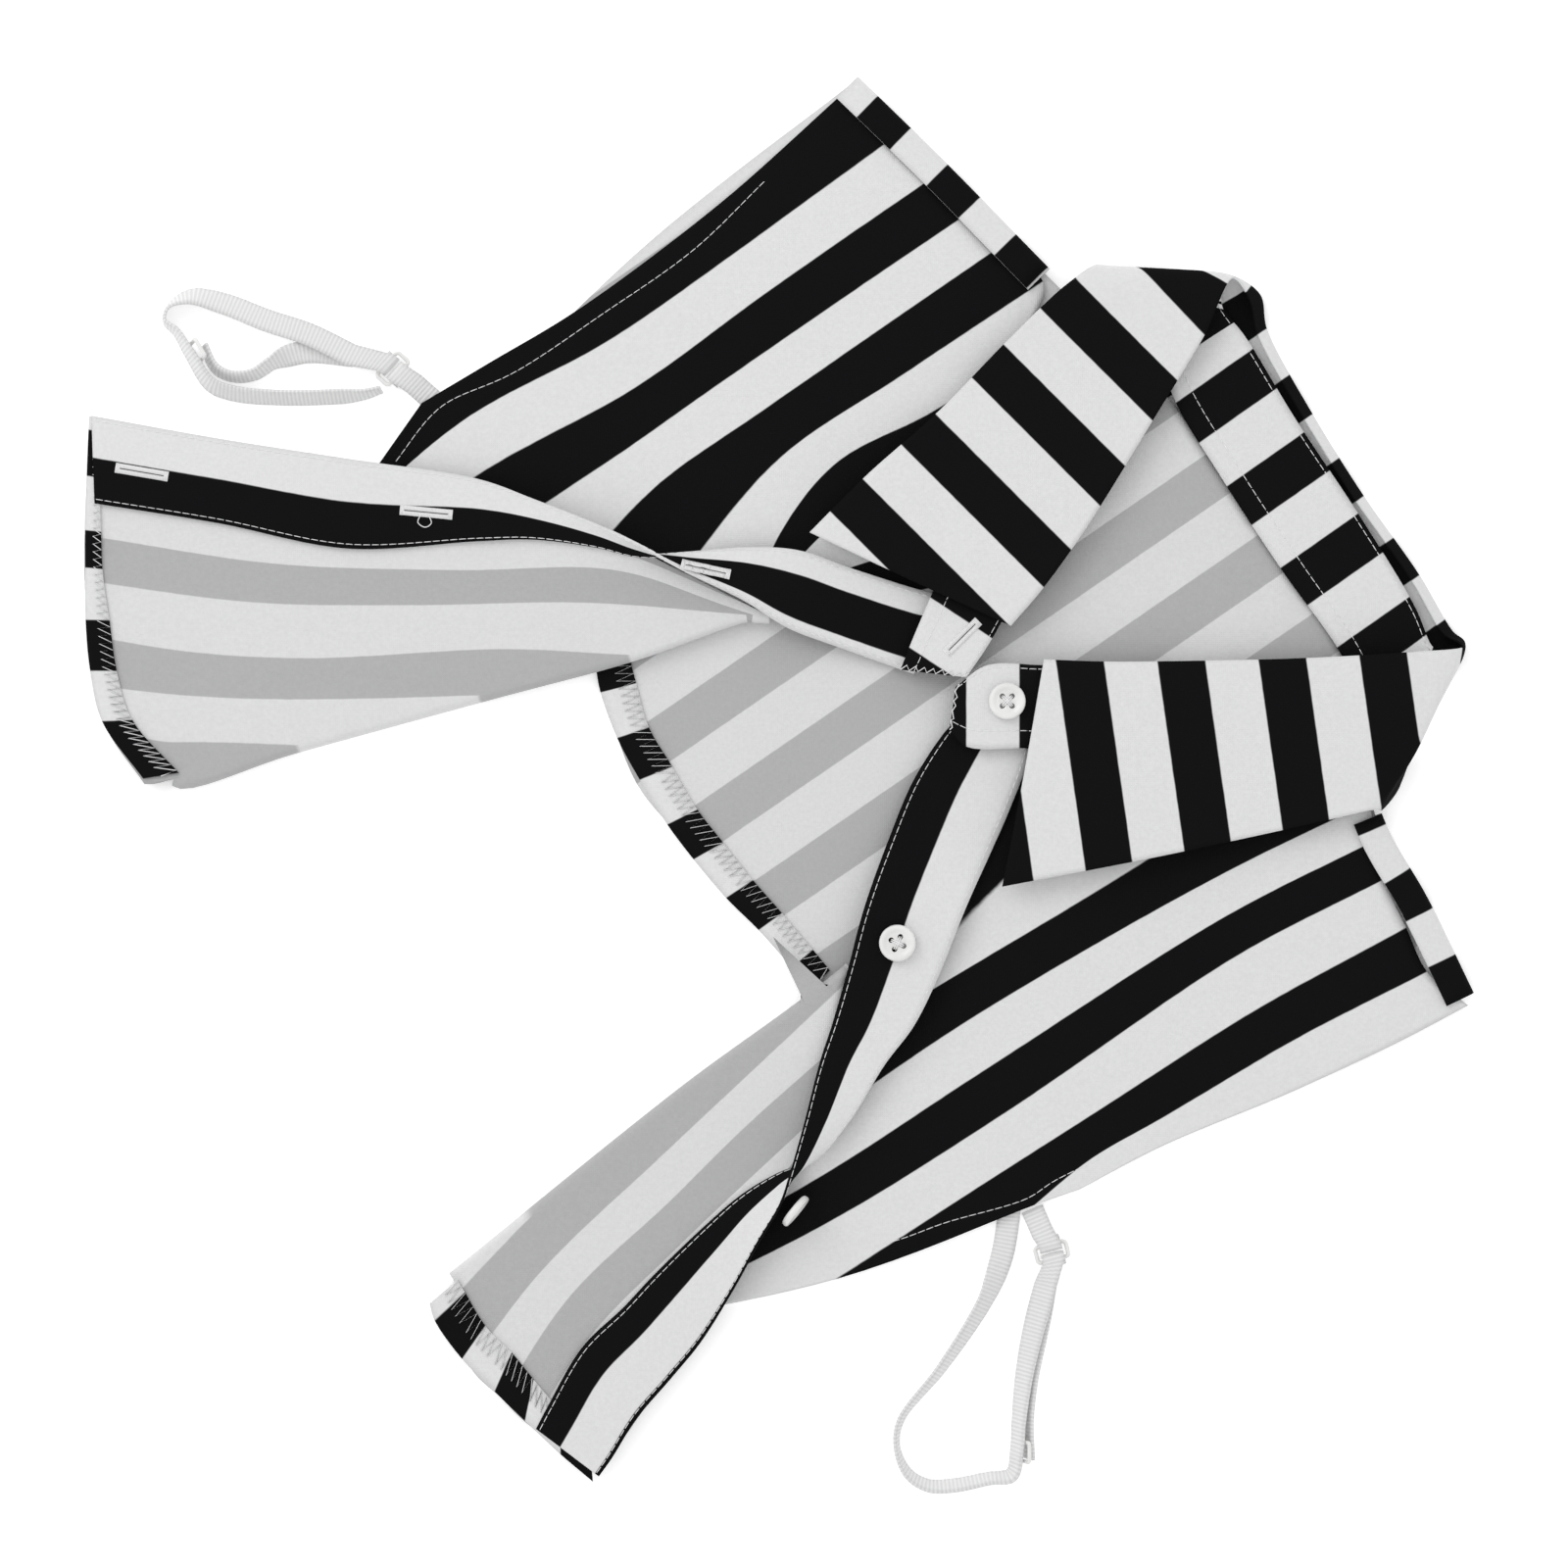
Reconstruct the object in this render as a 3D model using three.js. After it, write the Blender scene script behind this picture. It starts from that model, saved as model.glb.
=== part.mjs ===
// A striped detachable shirt collar, unbuttoned and laid on a table, seen from above in millimetres.
// x runs to the right of the lying collar, y runs up, z = 0 is the table.
import * as THREE from 'three';
import { mergeVertices } from 'three/addons/utils/BufferGeometryUtils.js';

// Driving dimensions
const WALL = 1.0;
const LAYER = 1.5;
const FRONT_FOLD_RADIUS = 1.9;
const SHOULDER_FOLD_RADIUS = 1.5;
const SEAM_ALLOWANCE_ON_FRONT = 7.4;
const BUTTON_DIAMETER = 11;
const BUTTON_THICKNESS = 2.2;
const BUTTON_HOLE_DIAMETER = 1.6;
const BUTTON_HOLE_SPACING = 2.9;
const ELASTIC_WIDTH = 6.8;
const ELASTIC_THICKNESS = 1.0;

// Heights of the middle of the cloth above the table
const TABLE_LAYER = WALL / 2;
const STAND_AT_BACK = TABLE_LAYER + 2 * LAYER;
const STAND_AT_FRONTS = 7.0;
const STAND_AT_CORNERS = (STAND_AT_BACK + STAND_AT_FRONTS) / 2;
const LEAF_AT_FRONTS = 9.0;

// The back panel: its middle line runs from the neck down to the hem
const NECK_CENTRE = new THREE.Vector2(140.3, 78.8);
const BACK_LINE = new THREE.Vector2(-0.824, -0.566);
const BACK_LENGTH = 193;
const RAISED_NEAR_NECK = 50;
const EASE_LENGTH = 36;

const STRIPED_COTTON = new THREE.MeshStandardMaterial({ color: 0xe4e4e4, roughness: 0.85, metalness: 0 });
const WHITE_RESIN = new THREE.MeshStandardMaterial({ color: 0xeeeeee, roughness: 0.35, metalness: 0 });
const WHITE_ELASTIC = new THREE.MeshStandardMaterial({ color: 0xdedede, roughness: 0.9, metalness: 0 });

function smoothStep(from, to, value) {
  const t = THREE.MathUtils.clamp((value - from) / (to - from), 0, 1);
  return t * t * (3 - 2 * t);
}

function distanceFromNeck(x, y) {
  return (x - NECK_CENTRE.x) * BACK_LINE.x + (y - NECK_CENTRE.y) * BACK_LINE.y;
}

// The back lies on the leaf near the neck and on the table beyond it
function backHeight(x, y) {
  const raised = 1 - smoothStep(RAISED_NEAR_NECK, RAISED_NEAR_NECK + EASE_LENGTH, distanceFromNeck(x, y));
  return TABLE_LAYER + LAYER * raised;
}

// The fronts lie on the back and come down to the table past its hem
function frontHeight(x, y) {
  const onBack = 1 - smoothStep(BACK_LENGTH + 4, BACK_LENGTH + 4 + EASE_LENGTH, distanceFromNeck(x, y));
  return backHeight(x, y) + LAYER * onBack;
}

function flapHeight(x, y) {
  return frontHeight(x, y) + 2 * FRONT_FOLD_RADIUS;
}

// Plan points of one row, lifted to a height that is a function of the place or one number
function liftRow(planPoints, height) {
  return planPoints.map(([x, y]) => {
    const z = typeof height === 'function' ? height(x, y) : height;
    return new THREE.Vector3(x, y, z);
  });
}

function smoothThrough(points) {
  return new THREE.CatmullRomCurve3(points, false, 'centripetal');
}

// Samples a sheet through its rows: grid[row sample][sample along the row]
function sheetGrid(rows, stepsAcross, stepsAlong) {
  const rowCurves = rows.map(smoothThrough);
  const grid = Array.from({ length: stepsAcross + 1 }, () => []);
  for (let j = 0; j <= stepsAlong; j += 1) {
    const section = smoothThrough(rowCurves.map((curve) => curve.getPoint(j / stepsAlong)));
    for (let i = 0; i <= stepsAcross; i += 1) {
      grid[i].push(section.getPoint(i / stepsAcross));
    }
  }
  return grid;
}

function setHeights(grid, height) {
  for (const row of grid) {
    for (const point of row) {
      point.z = height(point.x, point.y, point.z);
    }
  }
}

function transpose(grid) {
  return grid[0].map((_, j) => grid.map((row) => row[j]));
}

// Half-round turns that carry each row's end up and back over itself
function foldTurns(ends, previous, radius, steps) {
  return ends.map((end, i) => {
    const before = ends[Math.max(i - 1, 0)];
    const after = ends[Math.min(i + 1, ends.length - 1)];
    const outward = new THREE.Vector3(after.y - before.y, before.x - after.x, 0).normalize();
    const travel = end.clone().sub(previous[i]);
    if (outward.dot(travel) < 0) outward.negate();
    const turn = [];
    for (let k = 1; k <= steps; k += 1) {
      const angle = (Math.PI * k) / steps;
      const point = end.clone().addScaledVector(outward, radius * Math.sin(angle));
      point.z += radius * (1 - Math.cos(angle));
      turn.push(point);
    }
    return turn;
  });
}

// Faces between neighbouring rows, from a list of rows that may differ in length
function sheetSurface(rows) {
  const corners = [];
  for (let i = 0; i + 1 < rows.length; i += 1) {
    const shared = Math.min(rows[i].length, rows[i + 1].length);
    for (let j = 0; j + 1 < shared; j += 1) {
      const [a, b, c, d] = [rows[i][j], rows[i + 1][j], rows[i + 1][j + 1], rows[i][j + 1]];
      corners.push(a, b, c, a, c, d);
    }
  }
  const surface = new THREE.BufferGeometry().setFromPoints(corners);
  return mergeVertices(surface, 1e-4);
}

// Gives a surface its cloth thickness: two skins and a wall along every open edge
function thicken(surface, thickness) {
  surface.computeVertexNormals();
  const place = surface.attributes.position;
  const normal = surface.attributes.normal;
  const index = Array.from(surface.index.array);
  const count = place.count;
  const positions = [];
  for (const side of [0.5, -0.5]) {
    for (let v = 0; v < count; v += 1) {
      const point = new THREE.Vector3().fromBufferAttribute(place, v);
      const up = new THREE.Vector3().fromBufferAttribute(normal, v);
      point.addScaledVector(up, side * thickness);
      positions.push(point.x, point.y, point.z);
    }
  }
  const faces = [...index];
  const edges = new Map();
  for (let f = 0; f < index.length; f += 3) {
    const [a, b, c] = [index[f], index[f + 1], index[f + 2]];
    faces.push(a + count, c + count, b + count);
    for (const [from, to] of [[a, b], [b, c], [c, a]]) {
      if (!edges.delete(`${to}_${from}`)) edges.set(`${from}_${to}`, [from, to]);
    }
  }
  for (const [from, to] of edges.values()) {
    faces.push(from, from + count, to, to, from + count, to + count);
  }
  const solid = new THREE.BufferGeometry();
  solid.setAttribute('position', new THREE.Float32BufferAttribute(positions, 3));
  solid.setIndex(faces);
  return solid;
}

// Turns the faces round where a sheet was wound the other way
function facingOut(solid) {
  const place = solid.attributes.position;
  const index = solid.index.array;
  const [a, b, c] = [new THREE.Vector3(), new THREE.Vector3(), new THREE.Vector3()];
  let volume = 0;
  for (let f = 0; f < index.length; f += 3) {
    a.fromBufferAttribute(place, index[f]);
    b.fromBufferAttribute(place, index[f + 1]);
    c.fromBufferAttribute(place, index[f + 2]);
    volume += a.dot(b.cross(c));
  }
  if (volume < 0) index.reverse();
  return solid;
}

function clothMesh(name, rows, material = STRIPED_COTTON, thickness = WALL) {
  const mesh = new THREE.Mesh(facingOut(thicken(sheetSurface(rows), thickness)), material);
  mesh.name = name;
  return mesh;
}

// Fronts, a row along each stripe edge, from the armhole side in to the centre edge
// Columns: shoulder, upper, middle, lower, end at the hem or at the roll
const BUTTONHOLE_FRONT = [
  [[20, 208.8], [-17.1, 175.6], [-61.2, 142.4], [-88.2, 126.2], [-108.5, 114.1]],
  [[31.2, 192.4], [-13.2, 160.3], [-52.6, 132.9], [-96.8, 108.5], [-138.2, 72.1]],
  [[43.5, 180.9], [-5.9, 146.8], [-44.7, 118.8], [-97.1, 89.1], [-175, 21.5]],
  [[47.1, 177.4], [-5.9, 139.7], [-42.6, 114.1], [-100, 76.5], [-182.4, 1.5]],
  [[53.8, 170.3], [-5.9, 129.7], [-44.1, 102.9], [-94.1, 67.6], [-147.1, 11.2]],
  [[64.1, 159.7], [-5.9, 111.5], [-38.5, 88.2], [-61.8, 61.8], [-89.1, 27.1]],
  [[77.6, 150], [36.8, 122.9], [0, 98.2], [-25, 69.1], [-45.6, 38.8]],
  [[67.6, 125.9], [44.4, 110.9], [16.2, 96.2], [0, 76.5], [-11.2, 50.6]],
  [[54.4, 86.8], [35.3, 75], [17.6, 67.6], [3.5, 58.8], [-8.4, 50.4]],
  [[42.6, 50.6], [29.4, 50.6], [16.2, 50.6], [3.5, 50.6], [-4.2, 50.2]],
];
const FIRST_ROLLED_ROW = 3;

// The rolled-over flap of the buttonhole front, wrong side up
// Columns: roll, near the roll, middle, near the hem, hem
const BUTTONHOLE_FLAP = [
  [[-182.4, 1.5], [-184.7, 0.9], [-186.8, 0.3], [-188.8, 0], [-191.2, 0]],
  [[-147.1, 11.2], [-161.8, 11.8], [-173.5, 12.1], [-186.8, 12.4], [-202.4, 16.2]],
  [[-89.1, 27.1], [-120.6, 26.2], [-153.5, 25.9], [-179.4, 27.1], [-206.8, 30]],
  [[-45.6, 38.8], [-83.8, 40.6], [-142.1, 37.9], [-176.5, 39.7], [-208.2, 44.7]],
  [[-11.2, 50.6], [-58.8, 54.4], [-108.8, 53.8], [-158.8, 54.7], [-209.1, 61.2]],
  [[-8.4, 50.4], [-52.9, 69.1], [-97.1, 71.8], [-150, 75], [-208.8, 84.7]],
  [[-4.2, 50.2], [-52.9, 74.1], [-97.1, 90.6], [-150, 98.2], [-206.8, 108.2]],
];

// Columns: shoulder, upper, middle, lower, end; the last row ends in the roll
const BUTTON_FRONT = [
  [[204.7, -66.2], [185.3, -76.5], [152.4, -92.1], [113, -108.6], [88.6, -121.4]],
  [[192.6, -56.5], [156.5, -75], [114.4, -99.7], [92.6, -112.2], [75.6, -125.9]],
  [[186.2, -43.2], [141.8, -67.6], [91.5, -99.7], [47.9, -127.6], [16.5, -148.2]],
  [[179.7, -29.1], [136.8, -51.5], [65.6, -99.7], [11.8, -132.9], [-44.1, -160.3]],
  [[176.5, -17.4], [132.9, -39.7], [58.8, -87.1], [4.4, -122.1], [-70.6, -161.8]],
  [[174.1, -5.9], [130.9, -27.1], [58.8, -68.5], [0, -107.4], [-88.2, -157.4]],
  [[144.1, 0], [97.1, -29.7], [43.8, -61.8], [-11.8, -95.6], [-94.1, -152.9]],
  [[102.9, 1.5], [72.1, -23.5], [41.2, -54.4], [-16.2, -91.8], [-97.1, -150.6]],
  [[70.6, 4.4], [54.4, -20.6], [20, -55.3], [-30.9, -93.5], [-98.8, -148.2]],
];
const BUTTON_ROLL_COLUMN = 2;

// The flap of the button front, from the roll out to the centre edge
// Columns: under the placket, upper, middle, lower, hem
const BUTTON_FLAP = [
  [[20, -55.3], [-5, -74], [-30.9, -93.5], [-63, -119.5], [-98.8, -148.2]],
  [[19.4, -58.8], [-17.6, -93.5], [-37.9, -112.6], [-72.1, -145.3], [-94.1, -173.8]],
  [[17.1, -76.5], [-11.8, -102.4], [-34.7, -125], [-64.1, -152.9], [-84.7, -183.5]],
  [[11.2, -98.5], [-13.5, -121.8], [-32.4, -140], [-57.1, -165.3], [-75, -192.6]],
  [[3.5, -114.7], [-7.6, -135.9], [-19.7, -155.9], [-38.2, -181.8], [-53.5, -203.5]],
];

// Plackets, a row for each place down the centre edge, which turn over part of the way down
// Columns: free edge, sewn edge, and how far each lies above the front
const BUTTONHOLE_PLACKET = [
  { free: [38.8, 32.9], sewn: [54.4, 55.3], freeLift: 1.5, sewnLift: 1.5 },
  { free: [29.4, 36.2], sewn: [42.6, 57.6], freeLift: 1.5, sewnLift: 1.5 },
  { free: [16.2, 40.9], sewn: [21.2, 64.1], freeLift: 3.2, sewnLift: 3.2 },
  { free: [1.2, 46.5], sewn: [4.4, 69.7], freeLift: 5.4, sewnLift: 5.3 },
  { free: [-12.1, 54.7], sewn: [-10.3, 70.6], freeLift: 8, sewnLift: 5.3 },
  { free: [-29.4, 63.2], sewn: [-28.8, 69.1], freeLift: 11, sewnLift: 5.3 },
  { free: [-44.4, 71.8], sewn: [-43.5, 67.9], freeLift: 11, sewnLift: 5.3 },
  { free: [-55.9, 77.4], sewn: [-55.9, 70.6], freeLift: 9, sewnLift: 5.3 },
  { free: [-74.7, 85], sewn: [-74.7, 72.9], freeLift: 6.5, sewnLift: 5.3 },
  { free: [-90.9, 90.9], sewn: [-90.9, 72.4], freeLift: 5.5, sewnLift: 5.3 },
  { free: [-130.3, 97.1], sewn: [-130.3, 70.3], freeLift: 5.3, sewnLift: 5.3 },
  { free: [-169.1, 103.2], sewn: [-169.1, 77.9], freeLift: 5.3, sewnLift: 5.3 },
  { free: [-206.8, 110], sewn: [-205.9, 83.8], freeLift: 5.3, sewnLift: 5.3 },
];
const BUTTON_PLACKET = [
  { free: [51.5, 19.1], sewn: [73.5, 10.3], freeLift: 1.5, sewnLift: 1.5 },
  { free: [47.9, 15.3], sewn: [72.4, 5.3], freeLift: 1.5, sewnLift: 1.5 },
  { free: [38.8, 1.2], sewn: [67.6, -7.4], freeLift: 1.5, sewnLift: 1.5 },
  { free: [31.2, -16.8], sewn: [61.8, -20.6], freeLift: 2.5, sewnLift: 1.5 },
  { free: [23.8, -37.4], sewn: [54.4, -36.8], freeLift: 4.6, sewnLift: 4.2 },
  { free: [19.1, -55], sewn: [46.5, -56.5], freeLift: 5.4, sewnLift: 4.8 },
  { free: [14.7, -70.6], sewn: [38.8, -72.1], freeLift: 5.8, sewnLift: 5.3 },
  { free: [10.6, -83.2], sewn: [30, -83.8], freeLift: 6.5, sewnLift: 5.3 },
  { free: [5.9, -101.5], sewn: [20, -100], freeLift: 9, sewnLift: 5.3 },
  { free: [1.8, -116.2], sewn: [9.7, -111.8], freeLift: 11, sewnLift: 5.3 },
  { free: [-0.9, -125], sewn: [-1.5, -116.2], freeLift: 11, sewnLift: 5.3 },
  { free: [-7.4, -136.5], sewn: [-12.3, -122.4], freeLift: 9, sewnLift: 5.3 },
  { free: [-14.7, -150.3], sewn: [-23.5, -131.8], freeLift: 6.5, sewnLift: 5.3 },
  { free: [-24.7, -166.5], sewn: [-38.8, -146.5], freeLift: 5.5, sewnLift: 5.3 },
  { free: [-33.8, -177.6], sewn: [-47.9, -156.2], freeLift: 5.3, sewnLift: 5.3 },
  { free: [-44.1, -189.7], sewn: [-60.3, -168.2], freeLift: 5.3, sewnLift: 5.3 },
  { free: [-51.5, -201.5], sewn: [-70.6, -185.9], freeLift: 5.3, sewnLift: 5.3 },
  { free: [-55.3, -206.8], sewn: [-74.1, -192.6], freeLift: 5.3, sewnLift: 5.3 },
];

// The stand, a band that turns over at the two corners of the neck opening
// Columns: edge at the leaf, edge at the panels, height
const STAND = [
  { leafEdge: [54.4, 31.8], panelEdge: [34.7, 34.1], height: STAND_AT_FRONTS },
  { leafEdge: [61.5, 42.4], panelEdge: [40, 47.1], height: STAND_AT_FRONTS },
  { leafEdge: [75, 66.5], panelEdge: [54.4, 79.4], height: STAND_AT_FRONTS },
  { leafEdge: [98.5, 102.5], panelEdge: [75, 118.2], height: STAND_AT_FRONTS },
  { leafEdge: [119.5, 134], panelEdge: [97.1, 146], height: STAND_AT_FRONTS },
  { leafEdge: [127.5, 142.5], panelEdge: [104.6, 146.8], height: STAND_AT_FRONTS },
  { leafEdge: [130.3, 145.2], panelEdge: [107.4, 149.2], height: STAND_AT_CORNERS },
  { leafEdge: [131.4, 142.2], panelEdge: [108.8, 145.6], height: STAND_AT_BACK },
  { leafEdge: [138, 133.8], panelEdge: [116.2, 116.5], height: STAND_AT_BACK },
  { leafEdge: [152.5, 110], panelEdge: [130.3, 92.6], height: STAND_AT_BACK },
  { leafEdge: [173, 79], panelEdge: [148.5, 64.7], height: STAND_AT_BACK },
  { leafEdge: [189, 52.5], panelEdge: [165.3, 41.2], height: STAND_AT_BACK },
  { leafEdge: [193.4, 42], panelEdge: [177.2, 20], height: STAND_AT_BACK },
  { leafEdge: [195.8, 38.6], panelEdge: [181, 17], height: STAND_AT_CORNERS },
  { leafEdge: [192, 37], panelEdge: [178.2, 14.2], height: STAND_AT_FRONTS },
  { leafEdge: [174, 36], panelEdge: [171, 11.2], height: STAND_AT_FRONTS },
  { leafEdge: [132.4, 35.6], panelEdge: [132.4, 8.2], height: STAND_AT_FRONTS },
  { leafEdge: [94.1, 35.3], panelEdge: [92.6, 8.2], height: STAND_AT_FRONTS },
  { leafEdge: [76.5, 35.5], panelEdge: [73.5, 10.6], height: STAND_AT_FRONTS },
  { leafEdge: [60.5, 35.4], panelEdge: [54.4, 11.2], height: STAND_AT_FRONTS },
  { leafEdge: [51.2, 29], panelEdge: [49.4, 16.2], height: STAND_AT_FRONTS },
];

// The leaf, a row for each place along its fold, from the buttonhole point to the button point
// Columns: fold or seam edge, the bend past it, just under or beyond the bend, free edge; z holds
// the height of each
const LEAF_UNDER = [STAND_AT_BACK + 0.9, 2.5, 0.6, 0.6];
const LEAF_OVER = [LEAF_AT_FRONTS, LEAF_AT_FRONTS, LEAF_AT_FRONTS, LEAF_AT_FRONTS];
const CORNER_UNDER = [5.2, 2.6, 0.6, 0.6];
const UPPER_CORNER = [8, 7.4, 6.6, 5.6];
const LOWER_CORNER = [8, 7.4, 6.6, 5.9];
const LEAF = [
  { fold: [67.6, 47.1], bend: [47.4, 56.3], under: [27.4, 65.6], free: [7.6, 75], z: LEAF_OVER },
  { fold: [77.1, 58.2], bend: [58.9, 69.9], under: [41.3, 81.1], free: [24.4, 91.8], z: LEAF_OVER },
  { fold: [90, 76.2], bend: [75, 88.2], under: [60.4, 99.9], free: [46.2, 111.2], z: LEAF_OVER },
  { fold: [110, 108.5], bend: [95.4, 116.6], under: [81, 124.6], free: [66.8, 132.4], z: LEAF_OVER },
  { fold: [125, 133.2], bend: [112.4, 139], under: [99.2, 144.5], free: [85.3, 149.7], z: LEAF_OVER },
  { fold: [134.1, 150.9], bend: [128, 152.2], under: [114, 153.4], free: [94.4, 154.7], z: UPPER_CORNER },
  { fold: [139.4, 144], bend: [142, 146.8], under: [137.5, 145], free: [100, 146], z: CORNER_UNDER },
  { fold: [141.5, 134.8], bend: [144.4, 135.9], under: [140, 133.7], free: [90.9, 99.1], z: LEAF_UNDER },
  { fold: [155.6, 109.2], bend: [158.2, 110.3], under: [154.1, 108.1], free: [104.7, 73.5], z: LEAF_UNDER },
  { fold: [171, 84.8], bend: [173.5, 85.9], under: [169.5, 83.7], free: [120, 49.1], z: LEAF_UNDER },
  { fold: [187.4, 61.3], bend: [190, 62.4], under: [185.9, 60.2], free: [136.5, 25.6], z: LEAF_UNDER },
  { fold: [197.4, 44.6], bend: [200, 45.6], under: [196, 43.4], free: [150, 5.9], z: LEAF_UNDER },
  { fold: [201.5, 42.4], bend: [203.6, 42.2], under: [199.6, 41.2], free: [184.5, 2], z: CORNER_UNDER },
  { fold: [202.9, 40.9], bend: [199.2, 32], under: [192.4, 18.4], free: [178.4, -7.6], z: LOWER_CORNER },
  { fold: [187.6, 39.4], bend: [189.7, 24], under: [185.8, 8.3], free: [175.9, -7.6], z: LEAF_OVER },
  { fold: [156.8, 37.6], bend: [158.7, 21.5], under: [160.7, 5.5], free: [162.6, -10.6], z: LEAF_OVER },
  { fold: [126.5, 36.8], bend: [129, 18.9], under: [131.6, 1.1], free: [134.4, -16.8], z: LEAF_OVER },
  { fold: [96.8, 36.5], bend: [99.5, 16.7], under: [102.3, -3.1], free: [105.3, -22.9], z: LEAF_OVER },
  { fold: [77.4, 37.1], bend: [73.5, 14.2], under: [69.4, -8.3], free: [65, -30.6], z: LEAF_OVER },
];

// The back panel, wrong side up, a row along each stripe direction
// Columns: hem, middle, and neck or shoulder
const BACK = [
  [[-98, 106], [-41.2, 161.8], [20.9, 210.3]],
  [[-70.6, 70.6], [-11.8, 132.4], [47.1, 184.7]],
  [[-58.8, 47.1], [11.8, 102.9], [78.2, 152.9]],
  [[-55.3, 32.4], [29.4, 82.4], [113.8, 117.1]],
  [[-44.1, 0], [38.2, 47.1], [127.9, 97.1]],
  [[-29.4, -17.6], [52.9, 29.4], [141.2, 77.9]],
  [[-11.8, -38.2], [73.5, 8.8], [154.4, 58.8]],
  [[8.8, -58.8], [91.2, -5.9], [167.1, 40]],
  [[29.4, -85.3], [102.9, -38.2], [177.1, -9.4]],
  [[50, -108], [117.6, -70.6], [191.2, -35.3]],
  [[68, -122], [138.2, -97.1], [204.7, -63.2]],
];
const LEFT_SHOULDER_ROWS = 3;
const RIGHT_SHOULDER_ROWS = 3;

// Elastic loops, a row for each bend; lift is the height of the lower edge above the table,
// and tilt turns the band from flat, 0, to on edge, 90 degrees
const LEFT_ELASTIC = [
  { at: [-129.5, 128.4], lift: 2.6, tilt: 0 },
  { at: [-141.7, 134.4], lift: 2.6, tilt: 0 },
  { at: [-155.1, 138.9], lift: 1.8, tilt: 8 },
  { at: [-167.9, 143.9], lift: 0.6, tilt: 22 },
  { at: [-177.8, 145.9], lift: 0.2, tilt: 48 },
  { at: [-184.2, 142.9], lift: 0.1, tilt: 76 },
  { at: [-185.4, 138.6], lift: 0.3, tilt: 80 },
  { at: [-181.8, 135.2], lift: 1, tilt: 72 },
  { at: [-177.4, 128.3], lift: 2.2, tilt: 62 },
  { at: [-171.6, 119.6], lift: 1, tilt: 56 },
  { at: [-165, 117], lift: 0.1, tilt: 56 },
  { at: [-150.5, 115.6], lift: 0.1, tilt: 60 },
  { at: [-133, 116], lift: 0.1, tilt: 60 },
  { at: [-125.4, 116.7], lift: 0.1, tilt: 74 },
  { at: [-120.5, 118.1], lift: 0.1, tilt: 82 },
];
const LEFT_ELASTIC_RETURN = [
  { at: [-173.7, 131.2], lift: 0.1, tilt: 68 },
  { at: [-170.4, 124.6], lift: 0.1, tilt: 68 },
  { at: [-165.2, 122], lift: 0.1, tilt: 70 },
  { at: [-158.6, 122.6], lift: 0.1, tilt: 70 },
  { at: [-153.4, 125.9], lift: 0.1, tilt: 66 },
  { at: [-148.2, 128.4], lift: 0.1, tilt: 24 },
  { at: [-141.8, 129.6], lift: 0.1, tilt: 2 },
  { at: [-129, 128.4], lift: 0.1, tilt: 0 },
];
const RIGHT_ELASTIC = [
  { at: [78.2, -150.2], lift: 2.2, tilt: 5 },
  { at: [74.4, -164.3], lift: 1.7, tilt: 34 },
  { at: [71.8, -177.4], lift: 1.2, tilt: 50 },
  { at: [70.2, -190.6], lift: 1.6, tilt: 62 },
  { at: [69.6, -199.4], lift: 2.2, tilt: 64 },
  { at: [68, -206.6], lift: 1.2, tilt: 66 },
  { at: [61.5, -207.8], lift: 0.2, tilt: 70 },
  { at: [51.1, -209.9], lift: 0.1, tilt: 68 },
  { at: [43.3, -210], lift: 0.1, tilt: 70 },
  { at: [37.2, -206.4], lift: 0.1, tilt: 74 },
  { at: [33.8, -198.6], lift: 0.1, tilt: 80 },
  { at: [34.9, -190.5], lift: 0.1, tilt: 74 },
  { at: [47.2, -174.8], lift: 0.1, tilt: 64 },
  { at: [60.4, -154.4], lift: 0.1, tilt: 48 },
  { at: [65, -142.6], lift: 0.05, tilt: 12 },
  { at: [66.6, -135.5], lift: 0.05, tilt: 1 },
  { at: [67.6, -127.5], lift: 0.05, tilt: 0 },
];
const RIGHT_ELASTIC_RETURN = [
  { at: [78.4, -150.4], lift: 0.1, tilt: 0 },
  { at: [76, -164.3], lift: 0.1, tilt: 34 },
  { at: [73.6, -177.4], lift: 0.1, tilt: 50 },
  { at: [72.6, -190.6], lift: 0.1, tilt: 62 },
  { at: [73.2, -202], lift: 0.1, tilt: 66 },
];
const LEFT_TAB = [
  { at: [-110.8, 119.9], lift: 1.4, tilt: 0 },
  { at: [-108, 117.4], lift: 0.15, tilt: 0 },
  { at: [-103.4, 113.4], lift: 0.05, tilt: 0 },
];
const RIGHT_TAB = [
  { at: [77.5, -134.6], lift: 1.8, tilt: 0 },
  { at: [74.4, -127.4], lift: 0.05, tilt: 0 },
];

// Rings and sliders, flat frames of white resin; the bands turn round the long bars of a ring
const RING = { length: 10.8, width: 6, wire: 1.3, thickness: 1.2 };
const RING_HEIGHT = 2.2;
const TURN_RADIUS = 1.6;
const TAIL_LENGTH = 2.2;
const SLIDER = { length: 10, width: 7, wire: 1.2, thickness: 1.2 };
const LEFT_RING = { at: [-117.2, 124.4, RING_HEIGHT], turn: 48, tilt: 0 };
const RIGHT_RING = { at: [80.2, -140.2, RING_HEIGHT], turn: 15, tilt: 0 };
const LEFT_SLIDER = { at: [-175.7, 129.2, 4.9], turn: 30, tilt: 64 };
const RIGHT_SLIDER = { at: [71.2, -199.4, 4.9], turn: 0, tilt: 64 };

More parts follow.
